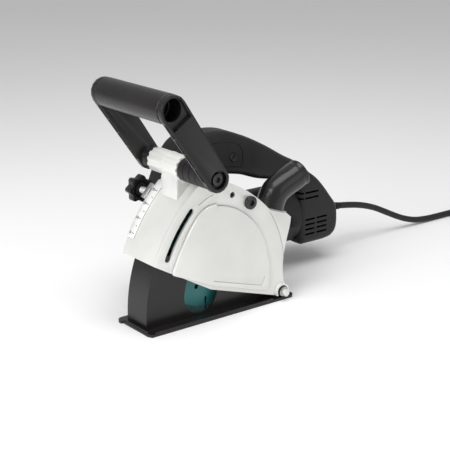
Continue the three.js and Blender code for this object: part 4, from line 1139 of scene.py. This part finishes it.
def inset(outline, by):
    """Outline moved inwards; its points run anticlockwise."""
    moved = []
    for i, point in enumerate(outline):
        before = (Vector(point) - Vector(outline[i - 1])).normalized()
        after = (Vector(outline[(i + 1) % len(outline)]) - Vector(point)).normalized()
        side = Vector((-before.y - after.y, before.x + after.x)).normalized()
        moved.append(tuple(Vector(point) + side * by / max(0.5, side.dot(Vector((-before.y, before.x))))))
    return moved


def fine(outline, steps=4):
    """Closed smooth outline through points, keeping its first and last."""
    return [(p.x, p.z) for p in curve_through([(x, 0, z) for x, z in outline], steps)]


def box(x0, x1, y0, y1, z0, z1):
    return slab("box", scaled([(x0, z0), (x1, z0), (x1, z1), (x0, z1)]), y0 * MM, y1 * MM)


def soft_slab(name, outline, half, bend):
    """Slab about the handle's middle plane with wide rounded edges."""
    bevel = {"width": bend * MM, "segments": 8, "limit_method": "ANGLE", "angle_limit": math.radians(60),
             "use_clamp_overlap": False}
    flat = slab(name, scaled(outline), (MOTOR_Y - half) * MM, (MOTOR_Y + half) * MM)
    return settled(name, flat, [("BEVEL", bevel)])


rear_outline = fine(REAR, 5)
if sum(a[0] * b[1] - b[0] * a[1] for a, b in zip(rear_outline, rear_outline[1:] + rear_outline[:1])) < 0:
    rear_outline = rear_outline[::-1]
handle_skin = joined(
    "handle", grip_loft("handle", HANDLE_STATIONS, 0, 18.5 * MM, 9 * MM),
    soft_slab("rear", rear_outline, 33, 8),
)
motor_end = motor_bar("motor_end", [(0, -85.7), (30, -85.7), (30, -100), (0, -100)])
vent_tools = [box(x0, x1, y0, y0 + 20, z - 1.2, z + 1.2) for x0, x1, z in AIR_SLOTS for y0 in (-49, -109)]
panel_line = ribbon(fine([
    (50, 168), (30, 170), (12, 168), (0, 164), (-5, 160), (-7.5, 154), (-8, 146), (-8, 140), (-5, 137.2),
    (4, 138.6),
    (20, 141.5),
], 4), 0.8)
grip_lines = []
for share in (0.27, 0.34, 0.41, 0.48, 0.55, 0.62, 0.69):
    run = [Vector(high).lerp(Vector(low), share) for high, low in HANDLE_STATIONS[7:12]]
    grip_lines.append(ribbon([tuple(run[0].lerp(run[1], 0.3 + share * 0.3)), *map(tuple, run[1:4]),
                              tuple(run[3].lerp(run[4], 0.3))], 0.8))
face = MOTOR_Y + 18.5
handle_cut = carved(
    "handle", handle_skin,
    grip_loft("inside", HANDLE_STATIONS, 3.6 * MM, 14.9 * MM, 6 * MM),
    soft_slab("inside", inset(rear_outline, 3.2), 29.8, 5),
    motor_bar("seat", [(0, -86), (36.6, -86), (36.6, 60), (0, 60)]), motor_end,
    box(6, 47, MOTOR_Y - 7.5, MOTOR_Y + 7.5, 118, 141),
    lathed("cord_way", scaled([(0, -160), (7.2, -160), (7.2, -140), (0, -140)]), 32, "X",
    (0, MOTOR_Y * MM, 0.057)),
    bar("button_way", 6, 150, 5, MOTOR_Y + 10, MOTOR_Y + 30, 48), *vent_tools,
    slab("panel_line", scaled(panel_line), (face - 0.6) * MM, (face + 2) * MM),
    *[slab("line", scaled(line), (face - 0.5) * MM, (face + 2) * MM) for line in grip_lines],
)
for side, reach in (("near", (-120, MOTOR_Y + 0.15)), ("far", (MOTOR_Y - 0.15, -20))):
    half_shell = carved(f"shell_{side}", handle_cut.copy(), box(-200, 150, *reach, -10, 250))
    shell_mesh = rounded(f"shell_{side}", half_shell, 0.0003, 1)
    piece(f"shell_{side}", shell_mesh, BODY, "machine", [f"handle_shell_{side}"])

# ---------------------------------------------------------------- trigger and lock button
# Glossy black paddle under the grip, and the round button that locks it on.

trigger_line = fine([(8.2, 137.5), (8.2, 119.5), (12, 117.2), (18, 115.8), (30, 117.2), (40, 122),
    (45.8, 129.5), (45.8, 137.5)], 5)
trigger_mesh = rounded("trigger_paddle", slab("trigger_paddle", scaled(trigger_line),
    (MOTOR_Y - 6.8) * MM, (MOTOR_Y + 6.8) * MM), 0.0014, 4)
piece("trigger_paddle", trigger_mesh, NYLON, "trigger_lever", ["trigger"])
low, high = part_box("lock_button")
button = lathed("lock_on_cap", [
    (0, low.y), (0.0044, low.y), (0.0046, low.y + 0.0002), (0.0046, high.y - 0.001),
    (0.0042, high.y - 0.0002),
    (0.0036, high.y), (0.0026, high.y - 0.0003), (0, high.y - 0.0005),
], 40, "Y", (0.006, 0, 0.15))
piece("lock_on_cap", button, NYLON, "lock_on_button", ["lock_button"])

# ---------------------------------------------------------------- dust nozzle
# Glossy black elbow pushed into the guard's duct, with a rolled rim at its mouth. It turns on the duct.

GLOSS = moulded("glossy black nozzle", (0.009, 0.0075, 0.0078), 0.2, 700.0, 0.02, 30.0, 0.1, 0.2, 0.4)
rearward = Vector((-math.cos(math.radians(22)), 0, math.sin(math.radians(22))))
mouth_at = Vector((DUCT[0], 0, DUCT[1]))
corner_at = mouth_at + duct_axis * 19


def nozzle_line(start, end):
    """Centre line of the elbow, sizes in millimetres."""
    marks_on = [mouth_at + duct_axis * start, mouth_at + duct_axis * (start + 8) / 2,
        mouth_at + duct_axis * 8,
                corner_at - duct_axis * 3 + rearward * 3, corner_at + rearward * 14,
                corner_at + rearward * 26,
                corner_at + rearward * end]
    return [p * MM for p in curve_through(marks_on, 16)]


def nozzle_skin(share):
    """Plain wall with a shallow groove behind a rim that is rounded at the mouth."""
    if share > 0.985:
        return 0.0163 - 0.0008 * ((share - 0.985) / 0.015) ** 2
    return 0.0163 - 0.0006 * max(0.0, math.sin((share - 0.92) / 0.05 * math.pi)) * (0.92 < share < 0.97)


plug_in = duct_bar("plug_in", 14.4, -8, 2)
elbow = joined("dust_elbow", swept("dust_elbow", nozzle_line(0.3, 42), nozzle_skin, 64), plug_in)
elbow = carved("dust_elbow", elbow, swept("inside", nozzle_line(-1, 44), 0.0137, 48),
    duct_bar("inside", 12, -10, 3))
piece("dust_elbow", smooth(elbow, 40), GLOSS, "nozzle", ["dust_nozzle"])

# ---------------------------------------------------------------- strain relief
# Tapered rubber sleeve with grooves, held in the rear body where the cord leaves it.

sleeve = [(0, -0.0098), (0.0095, -0.0098), (0.0095, -0.0068), (0.0062, -0.0068), (0.0062, 0.001)]
for i in range(9):
    start = 0.0022 + 0.0029 * i
    r = 0.0062 - 0.0018 * start / 0.03
    sleeve += [(r, start), (r - 0.0001, start + 0.0017), (r - 0.0011, start + 0.0019),
        (r - 0.0011, start + 0.0027)]
sleeve += [(0.0044, 0.0285), (0.0044, 0.0296), (0.004, 0.03), (0, 0.03)]
sleeve_mesh = lathed("cord_sleeve", sleeve, 40, "Z")
lean = Matrix.Rotation(math.radians(-6), 4, "Y") @ Matrix.Rotation(-math.pi / 2, 4, "Y")
sleeve_mesh.transform(Matrix.Translation((-0.1502, MOTOR_Y * MM, 0.057)) @ lean)
piece("cord_sleeve", sleeve_mesh, RUBBER, "machine", ["strain_relief"])


# ---------------------------------------------------------------- floor and light
# Plain pale studio floor with a large soft light from the front, another over the top and a fill.

floor_mesh = bpy.data.meshes.new("floor")
floor_mesh.from_pydata([(-6, -6, -0.0002), (6, -6, -0.0002), (6, 6, -0.0002), (-6, 6, -0.0002)], [],
    [(0, 1, 2, 3)])
floor = bpy.data.objects.new("floor", floor_mesh)
scene.collection.objects.link(floor)
pale = Maker("pale studio floor")
pale_cloud = pale.noise(1.5, 2.0)
pale.set(
    Base_Color=pale.mix(pale_cloud, (0.9, 0.9, 0.9, 1), (0.93, 0.93, 0.93, 1)),
    Roughness=pale.ramp(pale.noise(40.0), 0.3, 0.7, 0.75, 0.85),
)
floor_mesh.materials.append(pale.material)

world = bpy.data.worlds.new("studio")
scene.world = world
world.use_nodes = True
world.node_tree.nodes["Background"].inputs["Color"].default_value = (1, 1, 1, 1)
world.node_tree.nodes["Background"].inputs["Strength"].default_value = 0.46


def softbox(name, place, aim, size, power):
    lamp = bpy.data.lights.new(name, "AREA")
    lamp.shape = "RECTANGLE"
    lamp.size, lamp.size_y = size
    lamp.energy = power
    holder = bpy.data.objects.new(name, lamp)
    scene.collection.objects.link(holder)
    holder.location = place
    holder.rotation_euler = (Vector(aim) - holder.location).to_track_quat("-Z", "Y").to_euler()


softbox("front light", (1.5, 0.35, 0.9), (0.05, 0, 0.1), (0.9, 1.2), 20)
softbox("top light", (0.1, 0.3, 1.6), (0.0, -0.05, 0.1), (1.4, 1.0), 13)
softbox("side fill", (-0.7, 1.5, 0.7), (0.0, 0, 0.1), (1.2, 1.0), 2.5)
scene.view_settings.view_transform = "Standard"
